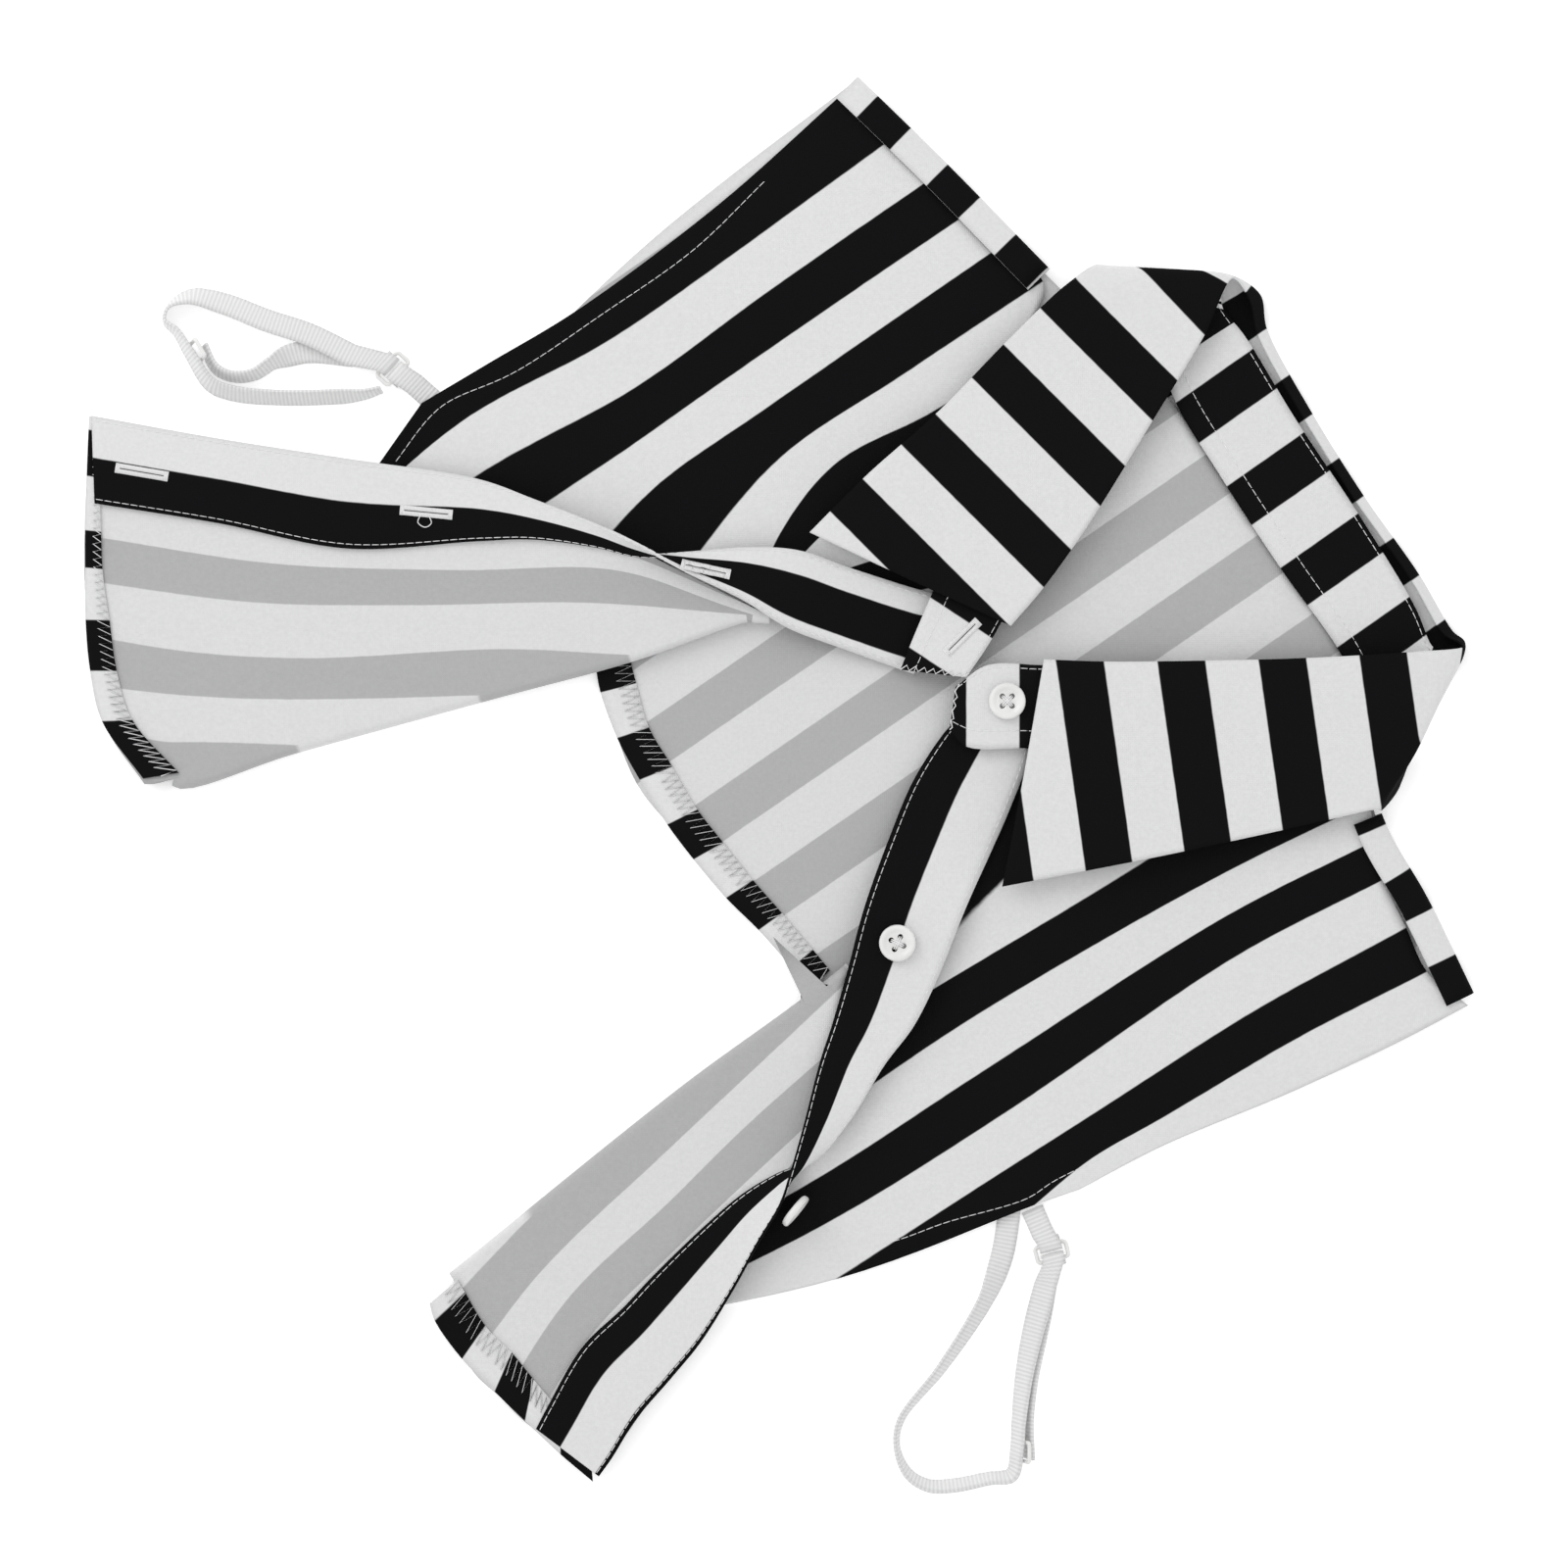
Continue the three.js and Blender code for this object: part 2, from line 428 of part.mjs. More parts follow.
// Buttons: middle of the disc, and how far its face is turned from straight up
const BUTTONS = {
  button_1_on_stand: { at: [66.5, 24.7, 8.95], tilt: 0, turn: 0 },
  button_2_on_placket: { at: [33.8, -47.4, 9.0], tilt: 0, turn: 20 },
  button_3_on_edge: { at: [3.4, -127.4, 6.95], tilt: 82, turn: -39 },
  button_4_under_flap: { at: [-55.3, -187.6, 2.3], tilt: 0, turn: 35 },
};
const BUTTON_SIDES = 20;
const BUTTON_HOLE_SIDES = 8;

// A band that follows its bends; the plan direction of travel sets the way its width lies
function bandRows(bends, width, thickness, steps) {
  const path = smoothThrough(bends.map(({ at, lift, tilt }) => {
    const lean = THREE.MathUtils.degToRad(tilt);
    const centre = lift + (width * Math.sin(lean) + thickness * Math.cos(lean)) / 2;
    return new THREE.Vector3(at[0], at[1], centre);
  }));
  const tilts = smoothThrough(bends.map(({ tilt }, i) => new THREE.Vector3(i, tilt, 0)));
  const rows = [];
  for (let k = 0; k <= steps; k += 1) {
    const t = k / steps;
    const centre = path.getPoint(t);
    const travel = path.getTangent(t).setZ(0).normalize();
    const lean = THREE.MathUtils.degToRad(tilts.getPoint(t).y);
    const half = new THREE.Vector3(-travel.y * Math.cos(lean), travel.x * Math.cos(lean), Math.sin(lean));
    half.multiplyScalar(width / 2);
    rows.push([centre.clone().sub(half), centre.clone().add(half)]);
  }
  return rows;
}

// The half turn of a band round one bar of a ring, with its tail beneath; side picks the bar
function ringTurn({ at, turn }, side) {
  const heading = THREE.MathUtils.degToRad(turn);
  const away = new THREE.Vector3(-Math.sin(heading), Math.cos(heading), 0).multiplyScalar(side);
  const half = new THREE.Vector3(-away.y, away.x, 0).multiplyScalar(ELASTIC_WIDTH / 2);
  const bar = (RING.width - RING.wire) / 2;
  const stops = [{ out: bar + TAIL_LENGTH, rise: -TURN_RADIUS }];
  for (let k = 0; k <= 6; k += 1) {
    const angle = (Math.PI * k) / 6;
    stops.push({ out: bar - TURN_RADIUS * Math.sin(angle), rise: -TURN_RADIUS * Math.cos(angle) });
  }
  return stops.map(({ out, rise }) => {
    const centre = new THREE.Vector3(...at).addScaledVector(away, out);
    centre.z += rise;
    return [centre.clone().sub(half), centre.clone().add(half)];
  });
}

function elasticMesh(name, bends, steps, firstRows = []) {
  const rows = bandRows(bends, ELASTIC_WIDTH, ELASTIC_THICKNESS, steps);
  return clothMesh(name, [...firstRows, ...rows], WHITE_ELASTIC, ELASTIC_THICKNESS);
}

// Leans a flat resin piece by its tilt, then turns it in the plane of the table
function placedResin(name, solid, { at, turn, tilt }) {
  const mesh = new THREE.Mesh(solid, WHITE_RESIN);
  mesh.name = name;
  mesh.position.set(...at);
  mesh.rotation.order = 'ZYX';
  mesh.rotation.y = THREE.MathUtils.degToRad(tilt);
  mesh.rotation.z = THREE.MathUtils.degToRad(turn);
  return mesh;
}

function roundedFrame({ length, width, wire, thickness }, inset) {
  const outline = inset ? new THREE.Path() : new THREE.Shape();
  const [halfLength, halfWidth] = [length / 2 - inset, width / 2 - inset];
  const corner = Math.max(wire - inset, wire / 3);
  const quarter = Math.PI / 2;
  outline.moveTo(halfLength, corner - halfWidth);
  outline.absarc(halfLength - corner, halfWidth - corner, corner, 0, quarter);
  outline.absarc(corner - halfLength, halfWidth - corner, corner, quarter, 2 * quarter);
  outline.absarc(corner - halfLength, corner - halfWidth, corner, 2 * quarter, 3 * quarter);
  outline.absarc(halfLength - corner, corner - halfWidth, corner, 3 * quarter, 4 * quarter);
  return outline;
}

function frameMesh(name, size, { at, turn, tilt }) {
  const shape = roundedFrame(size, 0);
  shape.holes.push(roundedFrame(size, size.wire));
  const depth = size.thickness;
  const solid = new THREE.ExtrudeGeometry(shape, { depth, bevelEnabled: false, curveSegments: 3 });
  solid.translate(0, 0, -depth / 2);
  return placedResin(name, solid, { at, turn, tilt: -tilt });
}

function buttonMesh(name, { at, tilt, turn }) {
  const disc = new THREE.Shape();
  disc.absarc(0, 0, BUTTON_DIAMETER / 2, 0, 2 * Math.PI);
  for (const [sideX, sideY] of [[1, 1], [-1, 1], [-1, -1], [1, -1]]) {
    const hole = new THREE.Path();
    const offset = BUTTON_HOLE_SPACING / 2;
    hole.absarc(sideX * offset, sideY * offset, BUTTON_HOLE_DIAMETER / 2, 0, 2 * Math.PI);
    disc.holes.push(new THREE.Path(hole.getPoints(BUTTON_HOLE_SIDES / 2)));
  }
  const rim = 0.4;
  const solid = new THREE.ExtrudeGeometry(disc, {
    depth: BUTTON_THICKNESS - 2 * rim,
    bevelThickness: rim,
    bevelSize: rim,
    bevelOffset: -rim,
    bevelSegments: 1,
    curveSegments: BUTTON_SIDES / 2,
  });
  solid.translate(0, 0, rim - BUTTON_THICKNESS / 2);
  return placedResin(name, solid, { at, turn, tilt });
}

// A front: its lower sheet, the turn at the roll, and the flap lying over it
function foldedSheet(lower, flap, firstRolled) {
  const rolled = lower.slice(firstRolled, firstRolled + flap.length);
  const ends = rolled.map((row) => row[row.length - 1]);
  const previous = rolled.map((row) => row[row.length - 2]);
  const turns = foldTurns(ends, previous, FRONT_FOLD_RADIUS, 5);
  return lower.map((row, i) => {
    const k = i - firstRolled;
    if (k < 0 || k >= flap.length) return row;
    return [...row, ...turns[k], ...flap[k].slice(1)];
  });
}

function buttonholeFront() {
  const perRow = 2;
  const lower = sheetGrid(BUTTONHOLE_FRONT.map((row) => liftRow(row, frontHeight)), 9 * perRow, 12);
  const flap = sheetGrid(BUTTONHOLE_FLAP.map((row) => liftRow(row, flapHeight)), 6 * perRow, 10);
  setHeights(lower, frontHeight);
  setHeights(flap, flapHeight);
  return clothMesh('buttonhole_front', foldedSheet(lower, flap, FIRST_ROLLED_ROW * perRow));
}

function buttonFront() {
  const perColumn = 4;
  const lower = transpose(sheetGrid(BUTTON_FRONT.map((row) => liftRow(row, frontHeight)), 16, 4 * perColumn));
  const flap = transpose(sheetGrid(BUTTON_FLAP.map((row) => liftRow(row, flapHeight)), 8, 2 * perColumn));
  setHeights(lower, frontHeight);
  setHeights(flap, flapHeight);
  return clothMesh('button_front', foldedSheet(lower, flap, BUTTON_ROLL_COLUMN * perColumn));
}

function placket(name, table, steps) {
  const edge = (key, lift) => table.map((row) => {
    const [x, y] = row[key];
    return new THREE.Vector3(x, y, frontHeight(x, y) + row[lift]);
  });
  const grid = sheetGrid([edge('free', 'freeLift'), edge('sewn', 'sewnLift')], 3, steps);
  return clothMesh(name, grid);
}

function stand() {
  const edge = (key) => STAND.map((row) => new THREE.Vector3(...row[key], row.height));
  return clothMesh('collar_stand', sheetGrid([edge('panelEdge'), edge('leafEdge')], 2, 60));
}

function leaf() {
  const columns = ['fold', 'bend', 'under', 'free'].map((key, level) => (
    LEAF.map((row) => new THREE.Vector3(...row[key], row.z[level]))
  ));
  const grid = sheetGrid(columns, 6, 54);
  setHeights(grid, (x, y, z) => Math.max(z, TABLE_LAYER + 0.05));
  return clothMesh('collar_leaf', grid);
}

// The back carries on over each shoulder ridge to a seam on the front
function backPanel() {
  const perRow = 2;
  const rowSteps = (BACK.length - 1) * perRow;
  const rows = sheetGrid(BACK.map((row) => liftRow(row, backHeight)), rowSteps, 12);
  setHeights(rows, backHeight);
  const wraps = [[0, LEFT_SHOULDER_ROWS], [BACK.length - RIGHT_SHOULDER_ROWS, RIGHT_SHOULDER_ROWS]];
  for (const [first, shoulderRows] of wraps) {
    const start = first * perRow;
    const wrapped = rows.slice(start, start + (shoulderRows - 1) * perRow + 1);
    const ends = wrapped.map((row) => row[row.length - 1]);
    const previous = wrapped.map((row) => row[row.length - 2]);
    const turns = foldTurns(ends, previous, SHOULDER_FOLD_RADIUS, 4);
    wrapped.forEach((row, i) => {
      const top = turns[i][turns[i].length - 1];
      const inward = turns[i][1].clone().sub(top).setZ(0).normalize();
      row.push(...turns[i]);
      for (const share of [0.5, 1]) {
        row.push(top.clone().addScaledVector(inward, -share * SEAM_ALLOWANCE_ON_FRONT));
      }
    });
  }
  return clothMesh('back_panel', rows);
}

const collar = new THREE.Group();
collar.add(backPanel());
collar.add(buttonholeFront());
collar.add(buttonFront());
collar.add(placket('buttonhole_placket', BUTTONHOLE_PLACKET, 36));
collar.add(placket('button_placket', BUTTON_PLACKET, 40));
collar.add(stand());
collar.add(leaf());
collar.add(elasticMesh('left_elastic', LEFT_ELASTIC, 52, ringTurn(LEFT_RING, 1)));
collar.add(elasticMesh('left_elastic_return', LEFT_ELASTIC_RETURN, 28));
collar.add(elasticMesh('left_tab', LEFT_TAB, 5, ringTurn(LEFT_RING, -1)));
collar.add(elasticMesh('right_elastic', RIGHT_ELASTIC, 60, ringTurn(RIGHT_RING, -1)));
collar.add(elasticMesh('right_elastic_return', RIGHT_ELASTIC_RETURN, 16));
collar.add(elasticMesh('right_tab', RIGHT_TAB, 5, ringTurn(RIGHT_RING, 1)));
collar.add(frameMesh('left_ring', RING, LEFT_RING));
collar.add(frameMesh('right_ring', RING, RIGHT_RING));
collar.add(frameMesh('left_slider', SLIDER, LEFT_SLIDER));
collar.add(frameMesh('right_slider', SLIDER, RIGHT_SLIDER));
for (const [name, place] of Object.entries(BUTTONS)) {
  collar.add(buttonMesh(name, place));
}

export default collar;
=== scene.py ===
"""A striped detachable collar, laid flat and seen from above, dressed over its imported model."""
import math
import random

import bpy
import numpy as np
from bpy.props import FloatProperty, FloatVectorProperty, IntProperty, PointerProperty
from mathutils import Matrix, Vector


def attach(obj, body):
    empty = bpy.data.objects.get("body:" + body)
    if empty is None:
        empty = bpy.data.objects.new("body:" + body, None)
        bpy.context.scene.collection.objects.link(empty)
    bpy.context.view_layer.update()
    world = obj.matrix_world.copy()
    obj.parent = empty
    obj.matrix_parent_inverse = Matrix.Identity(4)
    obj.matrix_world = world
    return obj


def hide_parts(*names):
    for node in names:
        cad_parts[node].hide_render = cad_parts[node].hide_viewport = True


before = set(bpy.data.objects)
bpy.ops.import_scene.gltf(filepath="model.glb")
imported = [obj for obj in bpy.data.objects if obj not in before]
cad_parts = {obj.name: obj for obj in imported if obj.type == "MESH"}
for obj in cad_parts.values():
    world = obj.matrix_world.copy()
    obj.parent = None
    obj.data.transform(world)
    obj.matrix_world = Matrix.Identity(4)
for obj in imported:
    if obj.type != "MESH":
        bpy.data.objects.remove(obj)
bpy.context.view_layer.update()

bl_info = {
    "name": "Striped detachable collar",
    "version": (1, 0, 0),
    "blender": (4, 5, 0),
    "location": "3D View > Sidebar > Collar",
    "description": "Builds the cloth, stitching, buttons and elastic loops of a detachable collar",
    "category": "Add Mesh",
}

MM = 0.001
BODY = "root"

# Heights in millimetres, as the solids have them
WALL = 1.0
LAYER = 1.5
FRONT_FOLD_RADIUS = 1.9
SHOULDER_FOLD_RADIUS = 1.5
SEAM_ALLOWANCE_ON_FRONT = 7.4
TABLE_LAYER = WALL / 2
STAND_AT_BACK = TABLE_LAYER + 2 * LAYER
STAND_AT_FRONTS = 7.0
STAND_AT_CORNERS = (STAND_AT_BACK + STAND_AT_FRONTS) / 2
LEAF_AT_FRONTS = 9.0

UNDER_SIDE_CLEARANCE = 0.05
HEM_LIFT = 0.8
HEM_THICKNESS = 0.6

# Samples round turns, across plackets and hems and along sheets, and places across a band
FOLD_STEPS = 10
SHOULDER_STEPS = 8
RING_TURN_STEPS = 8
FRAME_CORNER_STEPS = 6
PLACKET_STEPS = 10
SHEET_STEPS = 60
HEM_STEPS_ACROSS = 4
HEM_STEPS_A_ROW = 16
BAND_PLACES = (-1, -0.5, 0, 0.5, 1)
SEAM_PLACES = (0.25, 0.5, 0.75, 1)

# The back panel's middle line runs from the neck down to the hem
NECK_CENTRE = (140.3, 78.8)
BACK_LINE = (-0.824, -0.566)
ACROSS_BACK = (0.566, -0.824)
BACK_LENGTH = 193
EASE_FROM = BACK_LENGTH + 4
RAISED_NEAR_NECK = 50
EASE_LENGTH = 36


def smooth_step(start, end, value):
    t = min(max((value - start) / (end - start), 0.0), 1.0)
    return t * t * (3 - 2 * t)


def distance_along(direction, x, y):
    return direction[0] * x + direction[1] * y


def distance_from_neck(x, y):
    return distance_along(BACK_LINE, x - NECK_CENTRE[0], y - NECK_CENTRE[1])


def back_height(x, y):
    raised = 1 - smooth_step(RAISED_NEAR_NECK, RAISED_NEAR_NECK + EASE_LENGTH, distance_from_neck(x, y))
    return TABLE_LAYER + LAYER * raised


def front_height(x, y):
    on_back = 1 - smooth_step(EASE_FROM, EASE_FROM + EASE_LENGTH, distance_from_neck(x, y))
    return back_height(x, y) + LAYER * on_back


def flap_height(x, y):
    return front_height(x, y) + 2 * FRONT_FOLD_RADIUS


class Curve:
    """A centripetal Catmull-Rom curve; points may carry values after x, y and z."""

    def __init__(self, points):
        self.points = [np.asarray(point, float) for point in points]

    def at(self, t):
        points = self.points
        place = t * (len(points) - 1)
        first = min(int(place), len(points) - 2)
        weight = place - first
        p1, p2 = points[first], points[first + 1]
        p0 = points[first - 1] if first > 0 else 2 * p1 - p2
        p3 = points[first + 2] if first + 2 < len(points) else 2 * p2 - p1
        gaps = [np.sqrt(np.linalg.norm((b - a)[:3])) for a, b in ((p0, p1), (p1, p2), (p2, p3))]
        middle = gaps[1] if gaps[1] > 1e-4 else 1.0
        before = gaps[0] if gaps[0] > 1e-4 else middle
        after = gaps[2] if gaps[2] > 1e-4 else middle
        start = (p1 - p0) / before - (p2 - p0) / (before + middle) + (p2 - p1) / middle
        end = (p2 - p1) / middle - (p3 - p1) / (middle + after) + (p3 - p2) / after
        start, end = start * middle, end * middle
        w2, w3 = weight ** 2, weight ** 3
        return (p1 * (2 * w3 - 3 * w2 + 1) + start * (w3 - 2 * w2 + weight)
                + p2 * (3 * w2 - 2 * w3) + end * (w3 - w2))

    def samples(self, count):
        return [self.at(t) for t in np.linspace(0, 1, count)]


def sheet_grid(rows, steps_across, steps_along):
    """Samples a sheet through its rows as grid[row sample, sample along the row, value]."""
    curves = [Curve(row) for row in rows]
    columns = []
    for j in range(steps_along + 1):
        section = Curve([curve.at(j / steps_along) for curve in curves])
        columns.append([section.at(i / steps_across) for i in range(steps_across + 1)])
    return np.array(columns).transpose(1, 0, 2)


def set_heights(grid, height):
    for row in grid:
        for point in row:
            point[2] = height(point[0], point[1])


def fold_turns(ends, previous, radius, steps):
    """Half-round turns that carry each row's end up and back over itself."""
    turns = []
    for i, end in enumerate(ends):
        before, after = ends[max(i - 1, 0)], ends[min(i + 1, len(ends) - 1)]
        outward = np.zeros(len(end))
        outward[:2] = (after[1] - before[1], before[0] - after[0])
        outward /= np.linalg.norm(outward)
        if np.dot(outward[:2], (end - previous[i])[:2]) < 0:
            outward = -outward
        turn = []
        for k in range(1, steps + 1):
            angle = math.pi * k / steps
            point = end + outward * radius * math.sin(angle)
            point[2] += radius * (1 - math.cos(angle))
            turn.append(point)
        turns.append(turn)
    return turns


# Fronts, a row along each stripe edge, from the armhole side in to the centre edge
# Columns: millimetres in from the centre edge, then shoulder, upper, middle, lower, end
BUTTONHOLE_FRONT = (
    (141, (20, 208.8), (-17.1, 175.6), (-61.2, 142.4), (-88.2, 126.2), (-108.5, 114.1)),
    (127, (31.2, 192.4), (-13.2, 160.3), (-52.6, 132.9), (-96.8, 108.5), (-138.2, 72.1)),
    (111, (43.5, 180.9), (-5.9, 146.8), (-44.7, 118.8), (-97.1, 89.1), (-175, 21.5)),
    (105, (47.1, 177.4), (-5.9, 139.7), (-42.6, 114.1), (-100, 76.5), (-182.4, 1.5)),
    (97, (53.8, 170.3), (-5.9, 129.7), (-44.1, 102.9), (-94.1, 67.6), (-147.1, 11.2)),
    (80, (64.1, 159.7), (-5.9, 111.5), (-38.5, 88.2), (-61.8, 61.8), (-89.1, 27.1)),
    (66, (77.6, 150), (36.8, 122.9), (0, 98.2), (-25, 69.1), (-45.6, 38.8)),
    (50, (67.6, 125.9), (44.4, 110.9), (16.2, 96.2), (0, 76.5), (-11.2, 50.6)),
    ((25, 25, 25, 25, 30), (54.4, 86.8), (35.3, 75), (17.6, 67.6), (3.5, 58.8), (-8.4, 50.4)),
    ((0, 0, 0, 0, 24), (42.6, 50.6), (29.4, 50.6), (16.2, 50.6), (3.5, 50.6), (-4.2, 50.2)),
)

FIRST_ROLLED_ROW = 3

# The rolled-over flap, wrong side up
# Columns: millimetres in from the centre edge, then roll, near the roll, middle, near the hem, hem
BUTTONHOLE_FLAP = (
    (105, (-182.4, 1.5), (-184.7, 0.9), (-186.8, 0.3), (-188.8, 0), (-191.2, 0)),
    (97, (-147.1, 11.2), (-161.8, 11.8), (-173.5, 12.1), (-186.8, 12.4), (-202.4, 16.2)),
    (80, (-89.1, 27.1), (-120.6, 26.2), (-153.5, 25.9), (-179.4, 27.1), (-206.8, 30)),
    (66, (-45.6, 38.8), (-83.8, 40.6), (-142.1, 37.9), (-176.5, 39.7), (-208.2, 44.7)),
    (50, (-11.2, 50.6), (-58.8, 54.4), (-108.8, 53.8), (-158.8, 54.7), (-209.1, 61.2)),
    ((30, 25, 25, 25, 25), (-8.4, 50.4), (-52.9, 69.1), (-97.1, 71.8), (-150, 75), (-208.8, 84.7)),
    ((24, 0, 0, 0, 0), (-4.2, 50.2), (-52.9, 74.1), (-97.1, 90.6), (-150, 98.2), (-206.8, 108.2)),
)

# Columns: millimetres in from the centre edge, then shoulder, upper, middle, lower, end
BUTTON_FRONT = (
    (145, (204.7, -66.2), (185.3, -76.5), (152.4, -92.1), (113, -108.6), (88.6, -121.4)),
    (131, (192.6, -56.5), (156.5, -75), (114.4, -99.7), (92.6, -112.2), (75.6, -125.9)),
    (117, (186.2, -43.2), (141.8, -67.6), (91.5, -99.7), (47.9, -127.6), (16.5, -148.2)),
    (102, (179.7, -29.1), (136.8, -51.5), (65.6, -99.7), (11.8, -132.9), (-44.1, -160.3)),
    (88, (176.5, -17.4), (132.9, -39.7), (58.8, -87.1), (4.4, -122.1), (-70.6, -161.8)),
    (72, (174.1, -5.9), (130.9, -27.1), (58.8, -68.5), (0, -107.4), (-88.2, -157.4)),
    (58, (144.1, 0), (97.1, -29.7), (43.8, -61.8), (-11.8, -95.6), (-94.1, -152.9)),
    (43, (102.9, 1.5), (72.1, -23.5), (41.2, -54.4), (-16.2, -91.8), (-97.1, -150.6)),
    ((29, 37, 58, 66, 75), (70.6, 4.4), (54.4, -20.6), (20, -55.3), (-30.9, -93.5), (-98.8, -148.2)),
)

BUTTON_ROLL_COLUMN = 2

# Columns: millimetres in from the centre edge, then under the placket, upper, middle, lower, hem
BUTTON_FLAP = (
    ((58, 62, 66, 70, 75), (20, -55.3), (-5, -74), (-30.9, -93.5), (-63, -119.5), (-98.8, -148.2)),
    (58, (19.4, -58.8), (-17.6, -93.5), (-37.9, -112.6), (-72.1, -145.3), (-94.1, -173.8)),
    (43, (17.1, -76.5), (-11.8, -102.4), (-34.7, -125), (-64.1, -152.9), (-84.7, -183.5)),
    (28, (11.2, -98.5), (-13.5, -121.8), (-32.4, -140), (-57.1, -165.3), (-75, -192.6)),
    (0, (3.5, -114.7), (-7.6, -135.9), (-19.7, -155.9), (-38.2, -181.8), (-53.5, -203.5)),
)

# Plackets, which turn over part of the way down
# Columns: free edge, sewn edge, and how far each lies above the front
BUTTONHOLE_PLACKET = (
    ((38.8, 32.9), (54.4, 55.3), 1.5, 1.5),
    ((29.4, 36.2), (42.6, 57.6), 1.5, 1.5),
    ((16.2, 40.9), (21.2, 64.1), 3.2, 3.2),
    ((1.2, 46.5), (4.4, 69.7), 5.4, 5.3),
    ((-12.1, 54.7), (-10.3, 70.6), 8, 5.3),
    ((-29.4, 63.2), (-28.8, 69.1), 11, 5.3),
    ((-44.4, 71.8), (-43.5, 67.9), 11, 5.3),
    ((-55.9, 77.4), (-55.9, 70.6), 9, 5.3),
    ((-74.7, 85), (-74.7, 72.9), 6.5, 5.3),
    ((-90.9, 90.9), (-90.9, 72.4), 5.5, 5.3),
    ((-130.3, 97.1), (-130.3, 70.3), 5.3, 5.3),
    ((-169.1, 103.2), (-169.1, 77.9), 5.3, 5.3),
    ((-206.8, 110), (-205.9, 83.8), 5.3, 5.3),
)

# Columns as above
BUTTON_PLACKET = (
    ((51.5, 19.1), (73.5, 10.3), 1.5, 1.5),
    ((47.9, 15.3), (72.4, 5.3), 1.5, 1.5),
    ((38.8, 1.2), (67.6, -7.4), 1.5, 1.5),
    ((31.2, -16.8), (61.8, -20.6), 2.5, 1.5),
    ((23.8, -37.4), (54.4, -36.8), 4.6, 4.2),
    ((19.1, -55), (46.5, -56.5), 5.4, 4.8),
    ((14.7, -70.6), (38.8, -72.1), 5.8, 5.3),
    ((10.6, -83.2), (30, -83.8), 6.5, 5.3),
    ((5.9, -101.5), (20, -100), 9, 5.3),
    ((1.8, -116.2), (9.7, -111.8), 11, 5.3),
    ((-0.9, -125), (-1.5, -116.2), 11, 5.3),
    ((-7.4, -136.5), (-12.3, -122.4), 9, 5.3),
    ((-14.7, -150.3), (-23.5, -131.8), 6.5, 5.3),
    ((-24.7, -166.5), (-38.8, -146.5), 5.5, 5.3),
    ((-33.8, -177.6), (-47.9, -156.2), 5.3, 5.3),
    ((-44.1, -189.7), (-60.3, -168.2), 5.3, 5.3),
    ((-51.5, -201.5), (-70.6, -185.9), 5.3, 5.3),
    ((-55.3, -206.8), (-74.1, -192.6), 5.3, 5.3),
)

# The stand, a band that turns over at the two corners of the neck opening
# Columns: edge at the leaf, edge at the panels, height
STAND = (
    ((54.4, 31.8), (34.7, 34.1), STAND_AT_FRONTS),
    ((61.5, 42.4), (40, 47.1), STAND_AT_FRONTS),
    ((75, 66.5), (54.4, 79.4), STAND_AT_FRONTS),
    ((98.5, 102.5), (75, 118.2), STAND_AT_FRONTS),
    ((119.5, 134), (97.1, 146), STAND_AT_FRONTS),
    ((127.5, 142.5), (104.6, 146.8), STAND_AT_FRONTS),
    ((130.3, 145.2), (107.4, 149.2), STAND_AT_CORNERS),
    ((131.4, 142.2), (108.8, 145.6), STAND_AT_BACK),
    ((138, 133.8), (116.2, 116.5), STAND_AT_BACK),
    ((152.5, 110), (130.3, 92.6), STAND_AT_BACK),
    ((173, 79), (148.5, 64.7), STAND_AT_BACK),
    ((189, 52.5), (165.3, 41.2), STAND_AT_BACK),
    ((193.4, 42), (177.2, 20), STAND_AT_BACK),
    ((195.8, 38.6), (181, 17), STAND_AT_CORNERS),
    ((192, 37), (178.2, 14.2), STAND_AT_FRONTS),
    ((174, 36), (171, 11.2), STAND_AT_FRONTS),
    ((132.4, 35.6), (132.4, 8.2), STAND_AT_FRONTS),
    ((94.1, 35.3), (92.6, 8.2), STAND_AT_FRONTS),
    ((76.5, 35.5), (73.5, 10.6), STAND_AT_FRONTS),
    ((60.5, 35.4), (54.4, 11.2), STAND_AT_FRONTS),
    ((51.2, 29), (49.4, 16.2), STAND_AT_FRONTS),
)

STAND_BACK_ROWS = range(7, 13)
STAND_FIRST_LOWER_ROW = 13

